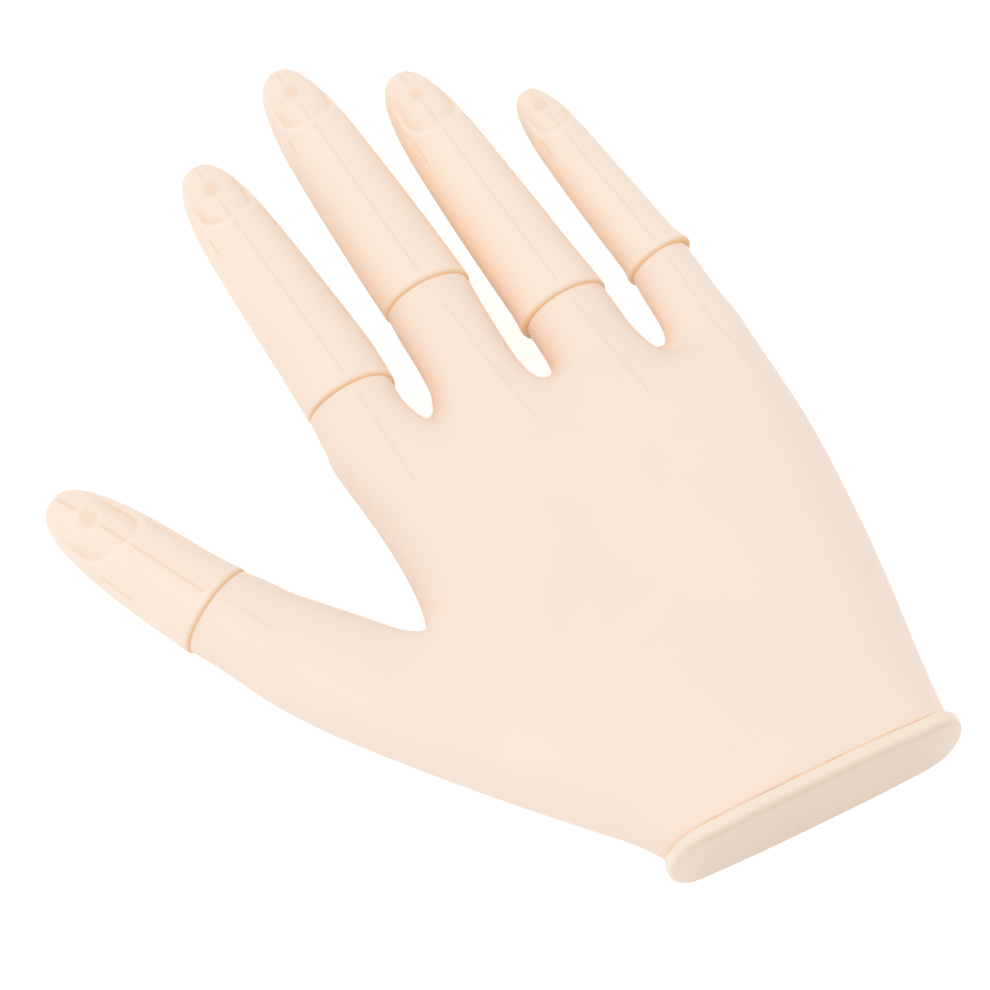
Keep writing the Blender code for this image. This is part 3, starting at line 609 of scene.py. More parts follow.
def digit_ring(finger, distance, half_width, half_height, left_wider=0.0, right_wider=0.0):
    """Eight control points round a finger, from its left over its top."""
    points = []
    for step in range(RING_POINTS):
        angle = math.pi - math.tau * step / RING_POINTS
        aside = math.cos(angle) * half_width * CAGE_OVER
        aside += math.cos(angle) * (right_wider if aside > 0 else left_wider)
        points.append(finger.place(distance, aside, math.sin(angle) * half_height * CAGE_OVER))
    return points


def stub_rings(finger):
    """Control rings of a finger's stub, from the web line to its seam."""
    half_width, half_height = finger.half_width - STEP, finger.half_height - STEP
    rings = []
    for along, wide, tall, left, right in STUB_RINGS_SHARES[finger.name]:
        size = half_width * wide, half_height * tall
        wider = left * finger.half_width, right * finger.half_width
        rings.append(digit_ring(finger, along * finger.stub, *size, *wider))
    rings.append(digit_ring(finger, -SEAM_GAP, half_width, half_height))
    return rings


def join_rings(shape, near, far, left_out=()):
    for i in range(len(near)):
        j = (i + 1) % len(near)
        if i not in left_out:
            shape.faces.new((near[i], near[j], far[j], far[i]))


def grow_digit(shape, base, finger):
    """Joins a finger's rings to the loop of eight points that it grows from."""
    before = base
    for points in stub_rings(finger):
        ring = [shape.verts.new(point) for point in points]
        join_rings(shape, before, ring)
        before = ring


def palm_net():
    """The control net of the palm skin, from the wrist's rim to the five seams."""
    shape = bmesh.new()
    front = web_columns()
    rows = [wrist_ring(0.0, FLANGE_THICKNESS + SEAT)]
    for row in PALM_ROWS_SHARES:
        rows.append(row_ring(row, row[0], front))
    front_points, webs = front_ring(front)
    rows.append(front_points)
    first, middle, last = range(FIRST_THUMB_ROW, FIRST_THUMB_ROW + 3)
    rows[last][1] += Vector((THUMB_WEB_ASIDE, -THUMB_WEB_BACK, 0))
    rows[last][-1] -= Vector((0, THUMB_WEB_PALM, 0))
    loops = []
    for number, points in enumerate(rows):
        left_out = LEFT_MID if number == middle else None
        loops.append([None if i == left_out else shape.verts.new(point) for i, point in enumerate(points)])
    for number, (near, far) in enumerate(zip(loops, loops[1:])):
        thumb_here = first <= number < last
        join_rings(shape, near, far, left_out=(LEFT_MID, len(near) - 1) if thumb_here else ())
    a, b, c = loops[first], loops[middle], loops[last]
    grow_digit(shape, [a[0], a[1], b[1], c[1], c[0], c[-1], b[-1], a[-1]], THUMB)
    row = loops[-1]
    top, bottom = row[1 : COLUMNS + 1], row[: COLUMNS + 1 : -1]
    mids = [row[LEFT_MID], *[shape.verts.new(point) for point in webs], row[RIGHT_MID]]
    for number, finger in enumerate(FINGERS):
        columns = slice(2 * number, 2 * number + 3)
        base = [mids[number], *top[columns], mids[number + 1], *bottom[columns][::-1]]
        grow_digit(shape, base, finger)
    return as_mesh(shape, "palm_form")


# The palm skin's fine surface
CUT_REACH = 5.0 * MM
FLUSH_SIDE = 3.5 * MM
LINE_SIDE = 2.0 * MM
RIM_WAVES = ((3, 0.07 * MM, 0.4), (7, 0.06 * MM, 1.9), (12, 0.05 * MM, 4.1))
RIM_WAVE_REACH = 6.0 * MM
RIM_LINE = (0.36 * MM, 0.5 * MM)
# The painted shade and glow along the skin's rim at the plug: its least share, and dashes where it is
# stronger
RIM_LINE_SHARE = 0.45
RIM_DASHES_SHARES = ((-0.345, 0.03), (-0.07, 0.025), (0.07, 0.04), (0.27, 0.04))


def end_loop(shape, finger):
    """The open edge at the end of a finger's stub, in order round it."""
    middle = finger.place(-SEAM_GAP)
    reach = finger.half_width * END_REACH_SHARE
    loop = [v for v in shape.verts if v.is_boundary and (v.co - middle).length < reach]
    return sorted(loop, key=lambda v: -math.atan2(v.co.z - middle.z, (v.co - middle).dot(finger.side)))


def add_neck(shape, finger, glow):
    """Steps a stub in at its end, and carries it on as the neck that the sleeve is pushed on to."""
    before = end_loop(shape, finger)
    middle = finger.place(-SEAM_GAP)
    inset = SLEEVE_WALL + SLIP
    width, height = finger.half_width - inset, finger.half_height - inset
    angles = [math.atan2((vert.co - middle).dot(finger.side), vert.co.z - middle.z) for vert in before]
    starts = [SEAM_INSIDE - SEAM_GAP - float(finger.seam_shift(math.sin(angle))) for angle in angles]
    for vert in before:
        vert.co += finger.along * SEAM_INSIDE
    for ends in (starts, [NECK_LENGTH] * len(angles)):
        ring = []
        for angle, distance in zip(angles, ends):
            point = finger.place(distance, width * math.sin(angle), height * math.cos(angle))
            ring.append(shape.verts.new(point))
            # The neck inside the seam's gap gets the full painted shade and glow
            ring[-1][glow] = 1.0
        join_rings(shape, before, ring)
        before = ring


def cut_faces(shape, faces, place, normal):
    """Cuts these faces by a plane, and returns the edges on the cut."""
    edges = {edge for face in faces for edge in face.edges}
    verts = {vert for face in faces for vert in face.verts}
    cut = bmesh.ops.bisect_plane(
        shape, geom=[*faces, *edges, *verts], dist=MERGE, plane_co=place, plane_no=normal
    )
    return {edge for edge in cut["geom_cut"] if isinstance(edge, bmesh.types.BMEdge)}


def line_measure(finger, point):
    """How far along a stub's parting line a point is, and how far beside it."""
    (near, near_aside), (far, far_aside) = finger.stub_line
    distance, aside, above = finger.measure(point)
    way = (near - distance) / (near - far)
    return way, aside - lerp(near_aside, far_aside, way), above


def refine_line(shape, finger):
    """Adds edges along a stub's parting line, so that it can be raised."""
    (near, near_aside), (far, far_aside) = finger.stub_line
    start = finger.place(near, near_aside)
    line = finger.place(far, far_aside) - start
    across = Vector((line.y, -line.x, 0)).normalized()
    margin = CUT_REACH / (near - far)
    for cut in STUB_LINE_CUTS:
        faces = []
        for face in shape.faces:
            way, aside, above = line_measure(finger, face.calc_center_median())
            if -margin < way < 1 + margin and abs(aside) < LINE_SIDE and above > 0:
                faces.append(face)
        cut_faces(shape, faces, start - across * cut, across)


def stub_line_weight(finger, point):
    way, aside, above = line_measure(finger, point)
    if above < 0 or abs(aside) > LINE_SIDE:
        return 0.0
    length = finger.stub_line[0][0] - finger.stub_line[1][0]
    ends = smooth(way * length, -MERGE, LINE_FADE) * smooth((1 - way) * length, -MERGE, 2 * LINE_FADE)
    return float(bell(aside, STUB_LINE_SPREAD) * ends)


def wave_rim(shape):
    """Makes the skin's rim at the wrist slightly uneven, so that the line along the plug varies."""
    rim = FLANGE_THICKNESS + SEAT
    for vert in shape.verts:
        if vert.co.y < rim + RIM_WAVE_REACH:
            turn = math.atan2(vert.co.z / WRIST_THICKNESS, vert.co.x / WRIST_WIDTH)
            wave = sum(height * math.sin(count * turn + start) for count, height, start in RIM_WAVES)
            vert.co.y += wave * (1 - float(smooth(vert.co.y - rim, 0.0, RIM_WAVE_REACH)))


def rim_glow(x):
    """How strong the painted shade and glow along the line between the skin and the plug are, which varies
    along the wrist.
    """
    dashes = [bell(x / WRIST_WIDTH - place, length) for place, length in RIM_DASHES_SHARES]
    return float(lerp(RIM_LINE_SHARE, 1.0, max(dashes)))


def flush_stub(shape, finger):
    """Moves a stub's sides out or in near its seam, and turns its end, to meet its sleeve as it sits."""
    left, right = finger.flush
    for vert in shape.verts:
        distance, aside, _ = finger.measure(vert.co)
        if -FLUSH_LENGTH < distance < MERGE and abs(aside) < finger.half_width + FLUSH_SIDE:
            share = (aside / finger.half_width) ** 2 * float(1 - smooth(-distance, 0.0, FLUSH_LENGTH))
            back = finger.seam_shift(aside / finger.half_width) * (1 - smooth(-distance, 0.0, TURN_LENGTH))
            vert.co += finger.side * share * (right if aside > 0 else -left) - finger.along * float(back)


def cut_stub(shape, finger):
    """Cuts the surface across a stub where its bend starts, and returns the faces beyond the cut."""
    start = finger.root_bend[0]
    near = []
    for face in shape.faces:
        distance, aside, _ = finger.measure(face.calc_center_median())
        if abs(distance - start) < CUT_REACH and abs(aside) < finger.half_width + finger.cut_side:
            near.append(face)
    border = cut_faces(shape, near, finger.place(start), finger.along)
    found = {face for vert in end_loop(shape, finger) for face in vert.link_faces}
    waiting = list(found)
    while waiting:
        for edge in waiting.pop().edges:
            if edge in border:
                continue
            for face in edge.link_faces:
                if face not in found:
                    found.add(face)
                    waiting.append(face)
    return found


def palm_surface():
    """The palm's whole outer surface, cut at the stubs, with a piece number on each face."""
    form = helper("palm_form", palm_net())
    add_subdivision(form, FIRST_LEVELS)
    settle(form)
    tighten(form)
    settle(form)
    shape = bmesh.new()
    shape.from_mesh(form.data)
    piece = shape.faces.layers.int.new("piece")
    relief, glow, line_shade_and_highlight = (shape.verts.layers.float.new(name) for name in ("relief", "glow", "line_shade_and_highlight"))
    normal = shape.verts.layers.float_vector.new("form_normal")
    for finger in DIGITS:
        refine_line(shape, finger)
    rim = FLANGE_THICKNESS + SEAT
    for cut in RIM_LINE:
        near = [face for face in shape.faces if face.calc_center_median().y < rim + CUT_REACH]
        cut_faces(shape, near, (0, rim + cut, 0), (0, 1, 0))
    # The skin's rim at the plug gets its painted shade and glow
    for vert in shape.verts:
        if vert.co.y < rim + RIM_LINE[0] + MERGE:
            vert[glow] = rim_glow(vert.co.x)
    wave_rim(shape)
    for number, finger in enumerate(DIGITS):
        for face in cut_stub(shape, finger):
            face[piece] = number + 1
    for finger in DIGITS:
        flush_stub(shape, finger)
    shape.normal_update()
    for vert in shape.verts:
        if vert.co.z > 0:
            weight = max(stub_line_weight(finger, vert.co) for finger in DIGITS)
            # Each raised parting line, with painted shade along it
            vert[relief] = weight * STUB_LINE_HEIGHT
            vert[line_shade_and_highlight] = weight * STUB_LINE_SHADE_SHARE
    flat = {vert: vert.co.copy() for vert in shape.verts}
    for vert in shape.verts:
        vert.co += vert.normal * vert[relief]
    shape.normal_update()
    for vert in shape.verts:
        vert[normal] = vert.normal
        vert.co = flat[vert]
    for finger in DIGITS:
        add_neck(shape, finger, glow)
    return shape


def take_piece(whole, number, name):
    """One piece of the palm's surface as a mesh of its own."""
    shape = whole.copy()
    layer = shape.faces.layers.int["piece"]
    others = [face for face in shape.faces if face[layer] != number]
    bmesh.ops.delete(shape, geom=others, context="FACES")
    return as_mesh(shape, name)


def make_palm_skin():
    shape = palm_surface()
    layer = shape.faces.layers.int["piece"]
    for number, finger in enumerate(DIGITS):
        for face in shape.faces:
            distance, aside, _ = finger.measure(face.calc_center_median())
            if distance > -SEAM_GAP - max(finger.seam_back) and abs(aside) < finger.half_width:
                face[layer] = number + 1
    names = ["palm_skin_body"] + [f"{finger.name}_stub" for finger in DIGITS]
    for number, name in enumerate(names):
        mesh = take_piece(shape, number, name)
        skin = add_object(name, mesh, hand, palm_vinyl)
        make_shell(skin)
        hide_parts("palm_skin")
        if number:
            finger = DIGITS[number - 1]
            start, end = (finger.place(distance) for distance in finger.root_bend)
            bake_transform(skin)
        else:
            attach(skin, "palm")
    shape.free()


def make_shell(skin):
    """Gives a piece of the skin its wall, its raised lines, and normals that run on into the next piece."""
    outer = len(skin.data.vertices)
    wall = skin.modifiers.new("Wall", "SOLIDIFY")
    wall.thickness = SKIN_WALL
    wall.offset = -1
    wall.use_even_offset = True
    settle(skin)
    mesh = skin.data
    normals = read(mesh.attributes["form_normal"].data, "vector", 3)
    relief = read(mesh.attributes["relief"].data, "value", 1)
    relief[outer:] = 0
    set_coordinates(mesh, coordinates(mesh) + normals * relief)
    keep_normals(mesh, outer, normals)


def keep_normals(mesh, outer, normals):
    """Sets the given normals on the outer faces, whose corners come first, and leaves the others."""
    corners = np.zeros(len(mesh.loops), int)
    mesh.loops.foreach_get("vertex_index", corners)
    chosen = np.zeros((len(corners), 3))
    for polygon in mesh.polygons:
        loops = slice(polygon.loop_start, polygon.loop_start + polygon.loop_total)
        index = corners[loops]
        if index.max() < outer and np.abs(normals[index]).sum(axis=1).min() > NORMAL_SUM:
            chosen[loops] = normals[index]
    mesh.normals_split_custom_set([tuple(n) for n in chosen])


# The finger sleeves
def sleeve_angles(finger):
    """Columns round a sleeve: close together on its back, and closest along the mould's lines."""
    angles = list(np.arange(-BACK_ANGLE, BACK_ANGLE, BACK_STEP_ANGLE))
    angles += list(np.arange(BACK_ANGLE, math.tau - BACK_ANGLE, FAR_STEP_ANGLE))
    step = LINE_COLUMN_STEP / finger.half_width
    lines = (finger.line_angle, finger.roll - NAIL_ANGLE, finger.roll + NAIL_ANGLE)
    for line in lines:
        near = [line + step * count for count in range(-LINE_COLUMNS, LINE_COLUMNS + 1)]
        angles = [a for a in angles if abs(a - line) > step * (LINE_COLUMNS + 0.5)] + near
    return np.array(sorted(angles))


def sleeve_distances(finger):
    """Rows along a sleeve: fine at its rim, and even along the surface from the nail to the tip."""
    turns = np.linspace(0, math.pi / 2, RIM_ROWS)
    rim = RIM_ROUND * (1 - np.cos(turns))
    fine_from = finger.sleeve - finger.side_line[1] - ROW_STEP
    coarse = np.arange(RIM_ROUND + ROW_STEP / 2, fine_from, ROW_STEP)
    table = finger.sleeve - finger.dome * (1 - np.linspace(0, 1, TIP_STEPS) ** TIP_CROWDING)
    table = np.concatenate((np.linspace(fine_from, table[0], SIDE_STEPS)[:-1], table))
    table = table[table >= fine_from]
    radius = finger.half_width * finger.shares(table)
    lengths = np.concatenate(([0.0], np.cumsum(np.hypot(np.diff(table), np.diff(radius)))))
    count = int(lengths[-1] / FINE_STEP)
    fine = np.interp(np.linspace(0, lengths[-1], count + 1), lengths, table)
    return np.unique(np.concatenate((rim, coarse, [finger.split], fine[:-1])))


def nail_measure(finger, behind, angles):
    """How far inside the nail bed's outline a point is, and its share of the way to the bed's side."""
    turn = (angles - finger.roll) / NAIL_ANGLE
    back = np.maximum(behind - finger.skew * turn - finger.nail_start, 0)
    back = back / (finger.nail - finger.nail_start)
    outline = (np.abs(turn) ** NAIL_POWER + back**NAIL_POWER) ** (1 / NAIL_POWER)
    return (1 - outline) * finger.half_width * NAIL_ANGLE, np.abs(turn)


def sleeve_flare(finger, distance, angles):
    """How deep the sleeve lies under its plain form where its mouth is pulled wider, so less than zero."""
    depth = 0 * distance * angles
    for angle, amount, length in finger.flares:
        depth = depth - amount * clamp(np.cos(angles - angle)) ** 2 * bell(distance, length)
    return depth


def sleeve_relief(finger, distances, angles):
    """How deep the fine form lies under the plain one, and how strong its painted shade and glow and its
    painted highlight are there.
    """
    distance = distances[:, None]
    behind = finger.sleeve - distance
    local = finger.half_width * finger.shares(distance)
    inside, turn = nail_measure(finger, behind, angles)
    fade = smooth(behind, *NAIL_FADE)
    bed = smooth(inside, 0.0, NAIL_EDGE)
    hollow = NAIL_MIDDLE_SHARE + (1 - NAIL_MIDDLE_SHARE) * clamp(turn) ** 2
    depth = NAIL_DEPTH * bed * fade * hollow
    rim = bell(inside + CUTICLE_RIM_WIDTH / 2, CUTICLE_RIM_WIDTH / 2)
    depth = depth - CUTICLE_RIM * rim * smooth(behind, finger.nail_start - NAIL_FADE[0], finger.nail)
    # Painted shade and glow along the bed's sides, strongest towards its corners
    corner = bell(inside - NAIL_EDGE, 2 * CUTICLE_RIM_WIDTH) * bed * fade * clamp(turn) ** 2

    across = (angles - finger.line_angle) * local
    from_dimple = np.hypot(across, behind - finger.dimple)
    dimple = 1 - smooth(from_dimple / finger.dimple_radius, *DIMPLE_EDGE_SHARES)
    depth = depth + DIMPLE_DEPTH * dimple

    spread = lerp(LINE_SPREAD, BED_LINE_SPREAD, bed)
    line = bell(across, spread) * smooth(distance, GLOW_REACH, 2 * GLOW_REACH)
    line = line * smooth(from_dimple / finger.dimple_radius, *LINE_CLEAR_SHARES)
    line = line * (1 - bell(behind - finger.nail - LINE_SPREAD * 2, CUTICLE_RIM_WIDTH / 2))
    line = line * smooth(behind, *LINE_TIP_FADE)
    depth = depth + LINE_DEPTH * line

    near, far = finger.side_line
    along = smooth(behind, near, near + LINE_FADE / 2) * (1 - smooth(behind, far - LINE_FADE, far))
    beside = (np.abs(angles - finger.roll) - NAIL_ANGLE) * local
    side = bell(beside, LINE_SPREAD) * along
    depth = depth + SIDE_LINE_DEPTH * side

    rise = np.sqrt(np.maximum(1 - clamp((RIM_ROUND - distance) / RIM_ROUND) ** 2, 0))
    depth = depth + RIM_DROP * (1 - rise)
    depth = depth + sleeve_flare(finger, distance, angles)
    # Painted shade and glow on the rounded rim, strongest at the seam's gap
    at_rim = (1 - smooth(distance, 0.0, GLOW_REACH)) ** 2
    # Painted shade and glow in the sunk dimple, centre line and side lines, and in the bed's corners
    marks = DIMPLE_GLOW * dimple + finger.line_glow * line + SIDE_GLOW * (side + corner)
    # The last value is the painted highlight on the cuticle's raised rim
    return depth, clamp(at_rim + marks), rim * fade * CUTICLE_HIGHLIGHT_SHARE


def grid_normals(points):
    """Outward normals of a grid of points whose columns close round."""
    across = np.roll(points, -1, axis=1) - np.roll(points, 1, axis=1)
    along = np.gradient(points, axis=0)
    normals = np.cross(across, along)
    return normals / np.linalg.norm(normals, axis=2, keepdims=True)


def sleeve_grids(finger):
    """Distances, and grids of the outer and inner surfaces with the outer normals and the painted shade, glow
    and highlight.
    """
    angles = sleeve_angles(finger)
    distances = sleeve_distances(finger)
    depth, glow, pale = sleeve_relief(finger, distances, angles)
    plain = finger.grid(distances, angles, 0.0)
    points = plain - grid_normals(plain) * depth[:, :, None]
    normals = grid_normals(points)
    inner_end = finger.sleeve - TIP_WALL
    turns = np.linspace(0, math.pi / 2, INNER_ROWS)
    inner_distances = np.unique(np.append(inner_end * np.sin(turns), finger.split))
    insets = SLEEVE_WALL + sleeve_flare(finger, inner_distances[:, None], angles)
    inner = finger.grid(inner_distances, angles, insets)
    return distances, points, normals, (glow, pale), inner_distances, inner


def shell_mesh(name, outer, outer_tints, outer_normals, inner, closed):
    """A closed body between an outer and an inner grid, whose far end is closed by a point if asked."""
    columns = outer.shape[1]
    points = [*outer.reshape(-1, 3), *inner.reshape(-1, 3)]
    offset = len(outer) * columns
    last_outer, last_inner = offset - columns, len(points) - columns
    faces = []

    def strip(near, far):
        for i in range(columns):
            j = (i + 1) % columns
            faces.append((near + i, near + j, far + j, far + i))

    for row in range(0, last_outer, columns):
        strip(row, row + columns)
    for row in range(offset, last_inner, columns):
        strip(row + columns, row)
    strip(offset, 0)
    if closed:
        for last, turn in ((last_outer, 1), (last_inner, -1)):
            points.append(np.mean(points[last : last + columns], axis=0))
            for i in range(columns):
                face = (last + i, last + (i + 1) % columns, len(points) - 1)
                faces.append(face[::turn])
    else:
        strip(last_outer, last_inner)
    mesh = bpy.data.meshes.new(name)
    mesh.from_pydata([tuple(p) for p in points], [], faces)
    extra = len(points) - offset
    glow, pale = outer_tints
    # The inner faces and the closing points get the full painted shade and glow
    point_values(mesh, "glow", np.concatenate((glow.ravel(), np.ones(extra))))
    # The painted highlight on the cuticle's rim, and none on the inner faces
    point_values(mesh, "line_shade_and_highlight", np.concatenate((pale.ravel(), np.zeros(extra))))
    shade(mesh)
    normals = np.concatenate((outer_normals.reshape(-1, 3), np.zeros((extra, 3))))
    keep_normals(mesh, offset, normals)
    return mesh


def make_sleeve(finger):
    distances, points, normals, tints, inner_distances, inner = sleeve_grids(finger)
    bodies = [f"{finger.name}_{bone}" for bone in ("proximal", "middle", "distal")]
    parts = [
        ("base", 0.0, finger.split, bodies[:2], finger.base_bend),
        ("end", finger.split, finger.sleeve, bodies[1:], finger.tip_bend),
    ]
    if len(finger.joints) == 2:
        parts = [("surface", 0.0, finger.sleeve, bodies[::2], finger.base_bend)]
    for part, start, end, pair, bend in parts:
        rows = (distances >= start - TINY) & (distances <= end + TINY)
        inner_rows = (inner_distances >= start - TINY) & (inner_distances <= end + TINY)
        closed = end == finger.sleeve
        name = f"{finger.name}_sleeve_{part}"
        shown = [tint[rows] for tint in tints]
        mesh = shell_mesh(name, points[rows], shown, normals[rows], inner[inner_rows], closed)
        sleeve = add_object(name, mesh, hand, sleeve_vinyl)
        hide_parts(f"{finger.name}_sleeve")
        finger.place(bend[0])
        finger.place(bend[1])
        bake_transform(sleeve)


# The wrist plug
FLANGE_EDGE = 1.7 * MM
FLANGE_BACK_EDGE = 0.5 * MM
FACE_INSETS = (9.0 * MM, 6.5 * MM, 4.0 * MM, 2.5 * MM)
# Where the face's ends turn to the paler edge colour, and how far
FACE_END_SHARES = (0.36, 0.50)
FACE_END_WARMTH = 0.4
SPIGOT_EDGE = 0.6 * MM
PLUG_ROUND_STEPS = 7
LOOP_REFINEMENTS = 3
BORE_SIDES = 24


def smooth_loop(points):
    """One step of the subdivision that the skin's rim gets."""
    loop = []
    for i, point in enumerate(points):
        before, after = points[i - 1], points[(i + 1) % len(points)]
        loop += [(before + point * 6 + after) / 8, (point + after) / 2]
    return loop


def finer_loop(points):
    """Adds a point between each two, on a smooth curve through all of them."""
    loop = []
    count = len(points)
    for i, point in enumerate(points):
        after, beyond = points[(i + 1) % count], points[(i + 2) % count]
        loop += [point, ((point + after) * 9 - points[i - 1] - beyond) / 16]
    return loop


def plug_loop(outset, y):
    loop = smooth_loop(wrist_ring(outset, y))
    for _ in range(LOOP_REFINEMENTS):
        loop = finer_loop(loop)
    return loop


def rounded(outset, y, radius, start, end):
    """Points of a rounding about a place, from one angle to another, as (outset, y) pairs."""
    turns = [lerp(start, end, i / PLUG_ROUND_STEPS) for i in range(PLUG_ROUND_STEPS + 1)]
    return [(outset + radius * math.cos(turn), y + radius * math.sin(turn)) for turn in turns]


def plug_profile():
    """The plug's edge from its outer face to its inner one, as (outset from the skin, y) pairs."""
    quarter = math.pi / 2
    profile = [(FLANGE_LIP - inset, 0.0) for inset in FACE_INSETS]
    profile += rounded(FLANGE_LIP - FLANGE_EDGE, FLANGE_EDGE, FLANGE_EDGE, -quarter, 0)
    back = FLANGE_THICKNESS - FLANGE_BACK_EDGE
    profile += rounded(FLANGE_LIP - FLANGE_BACK_EDGE, back, FLANGE_BACK_EDGE, 0, quarter)
    profile.append((-spigot_inset(FLANGE_THICKNESS), FLANGE_THICKNESS))
    inner = -spigot_inset(SPIGOT_END) - SPIGOT_EDGE
    profile += rounded(inner, SPIGOT_END - SPIGOT_EDGE, SPIGOT_EDGE, 0, quarter)
    return profile


def spigot_inset(y):
    """How far inside the wrist's outer form the spigot's sides are. They draw in towards its end."""
    return SKIN_WALL + SPIGOT_SLIP + SPIGOT_TAPER * (y - FLANGE_THICKNESS) / SPIGOT_DEPTH


def screw_bore(side):
    """The space that a screw takes up in the spigot, from below its underside."""
    y = SPIGOT_END - SOCKET_DEPTH / 2
    half = WRIST_THICKNESS / 2 - spigot_inset(y)
    sink = SCREW_HEAD + 2 * SEAT
    length = half + TAB_THICKNESS / 2 + SCREW_BITE + 2 * SEAT
    shank, head = SCREW_RADIUS + SEAT, SCREW_HEAD_RADIUS + SEAT
    rings = []
    for radius, height in ((head, -OVERRUN), (head, sink), (shank, sink), (shank, length)):
        turns = [math.tau * i / BORE_SIDES for i in range(BORE_SIDES)]
        middle = Vector((side * SCREW_SPACING / 2, y, height - half))
        rings.append([middle + Vector((math.cos(turn), math.sin(turn), 0)) * radius for turn in turns])
    return loft("screw_bore", rings)


def loft(name, rings):
    shape = bmesh.new()
    loops = [[shape.verts.new(point) for point in ring] for ring in rings]
    for near, far in zip(loops, loops[1:]):
        join_rings(shape, near, far)
    shape.faces.new(loops[0][::-1])
    shape.faces.new(loops[-1])
    bmesh.ops.recalc_face_normals(shape, faces=shape.faces)
    return as_mesh(shape, name)


def block(name, size, middle):
    shape = bmesh.new()
    bmesh.ops.create_cube(shape, size=1)
    bmesh.ops.scale(shape, vec=size, verts=shape.verts)
    bmesh.ops.translate(shape, vec=middle, verts=shape.verts)
    return as_mesh(shape, name)


def make_wrist_plug():
    rings = [plug_loop(outset, y) for outset, y in plug_profile()]
    mesh = loft("wrist_plug_surface", rings)
    along, heights, _ = coordinates(mesh).T
    # The edge attribute paints a highlight on the flange's rounded edge, which catches more light than the
    # face, and blends the same paler colour towards the face's ends
    ends = smooth(np.abs(along) / WRIST_WIDTH, *FACE_END_SHARES) * FACE_END_WARMTH
    point_values(mesh, "edge", np.maximum(smooth(heights, 0.0, FLANGE_EDGE), ends))
    plug = add_object("wrist_plug_surface", mesh, hand, plug_plastic)
    size = (TAB_WIDTH + 2 * SEAT, SOCKET_DEPTH + SEAT + OVERRUN, TAB_THICKNESS + 2 * SEAT)
    middle = (0, SPIGOT_END - SOCKET_DEPTH - SEAT + size[1] / 2, 0)
    cut_away(plug, helper("socket", block("socket", size, middle)))
    for side in (-1, 1):
        cut_away(plug, helper("screw_bore", screw_bore(side)))
    settle(plug)
    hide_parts("wrist_plug")
    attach(plug, "palm")


# Materials
# Painted shade and glow in hollows, by ambient occlusion: how far it looks and with how many samples; the
# emission strengths of the painted glow and of the glow in hollows, and the glow's colour
HOLLOW_REACH = 11.0 * MM
HOLLOW_SAMPLES = 6
GLOW_STRENGTH = 0.11
HOLLOW_GLOW_STRENGTH = 0.09
GLOW_LIGHT = (1.0, 0.66, 0.44, 1)
NOISE_RANGE = (0.3, 0.7)
VINYL_SPECULAR = 0.35
# Clouds of colour, unevenness of the sheen and grain, in features to the metre, and how the grain stands out
VINYL_NOISES = dict(clouds=45.0, sheen=260.0, roughness=(0.46, 0.56), grain=1500.0, relief=0.25)
PLASTIC_NOISES = dict(clouds=60.0, sheen=400.0, roughness=(0.40, 0.50), grain=2200.0, relief=0.3)
STEEL_NOISES = dict(clouds=900.0, sheen=2500.0, roughness=(0.24, 0.40), grain=4000.0, relief=0.2)


class Shader:
    """A material's or a world's node tree, with short calls to add and link nodes."""

    def __init__(self, name, owners=bpy.data.materials, shader="Principled BSDF"):
        self.material = owners.new(name)
        self.material.use_nodes = True
        self.nodes = self.material.node_tree.nodes
        self.links = self.material.node_tree.links
        self.shader = self.nodes[shader]

    def give(self, node, inputs):
        """Gives a node's inputs their numbers, colours, or the outputs of other nodes."""
        for key, value in inputs.items():
            if isinstance(value, bpy.types.NodeSocket):
                self.links.new(value, node.inputs[key])
            else:
                node.inputs[key].default_value = value

    def node(self, kind, inputs, **settings):
        node = self.nodes.new(kind)
        for key, value in settings.items():
            setattr(node, key, value)
        self.give(node, inputs)
        return node.outputs

    def noise(self, scale, detail=2.0, roughness=0.5):
        """A noise in object space, whose scale is in features to the metre."""
        place = self.node("ShaderNodeTexCoord", {})["Object"]
        inputs = {"Vector": place, "Scale": scale, "Detail": detail, "Roughness": roughness}
        return self.node("ShaderNodeTexNoise", inputs)["Fac"]

    def openness(self, reach):
        """1 in the open, and less in hollows and beside what stands near."""
        return self.node("ShaderNodeAmbientOcclusion", {"Distance": reach}, samples=HOLLOW_SAMPLES)["AO"]

    def attribute(self, name):
        return self.node("ShaderNodeAttribute", {}, attribute_name=name)["Fac"]

    def sum(self, value, factor, addend):
        """A value times a factor, plus a number or another value."""
        return self.node("ShaderNodeMath", {0: value, 1: factor, 2: addend}, operation="MULTIPLY_ADD")[0]

    def remap(self, value, low, high):
        """Spreads a noise's middle range over the values from low to high."""
        start, end = NOISE_RANGE
        inputs = {"Value": value, "From Min": start, "From Max": end, "To Min": low, "To Max": high}
        return self.node("ShaderNodeMapRange", inputs)["Result"]

    def blend(self, share, first, second):
        """Mixes two colours, each a tuple or a socket."""
        first, second = [(*value, 1) if isinstance(value, tuple) else value for value in (first, second)]
        return self.node("ShaderNodeMix", {0: share, 6: first, 7: second}, data_type="RGBA")[2]

    def surface(self, colour, mottle, clouds, sheen, roughness, grain, relief, harsh=0.6, depth=0.02 * MM):
        """Gives the shader an uneven roughness and a fine grain, and returns its clouded colour."""
        bump = {"Height": self.noise(grain, 2.0, harsh), "Strength": relief, "Distance": depth}
        inputs = {
            "Roughness": self.remap(self.noise(sheen, 3.0), *roughness),
            "Normal": self.node("ShaderNodeBump", bump)["Normal"],
        }
        self.give(self.shader, inputs)
        return self.blend(self.remap(self.noise(clouds), 0.0, 1.0), colour, mottle)


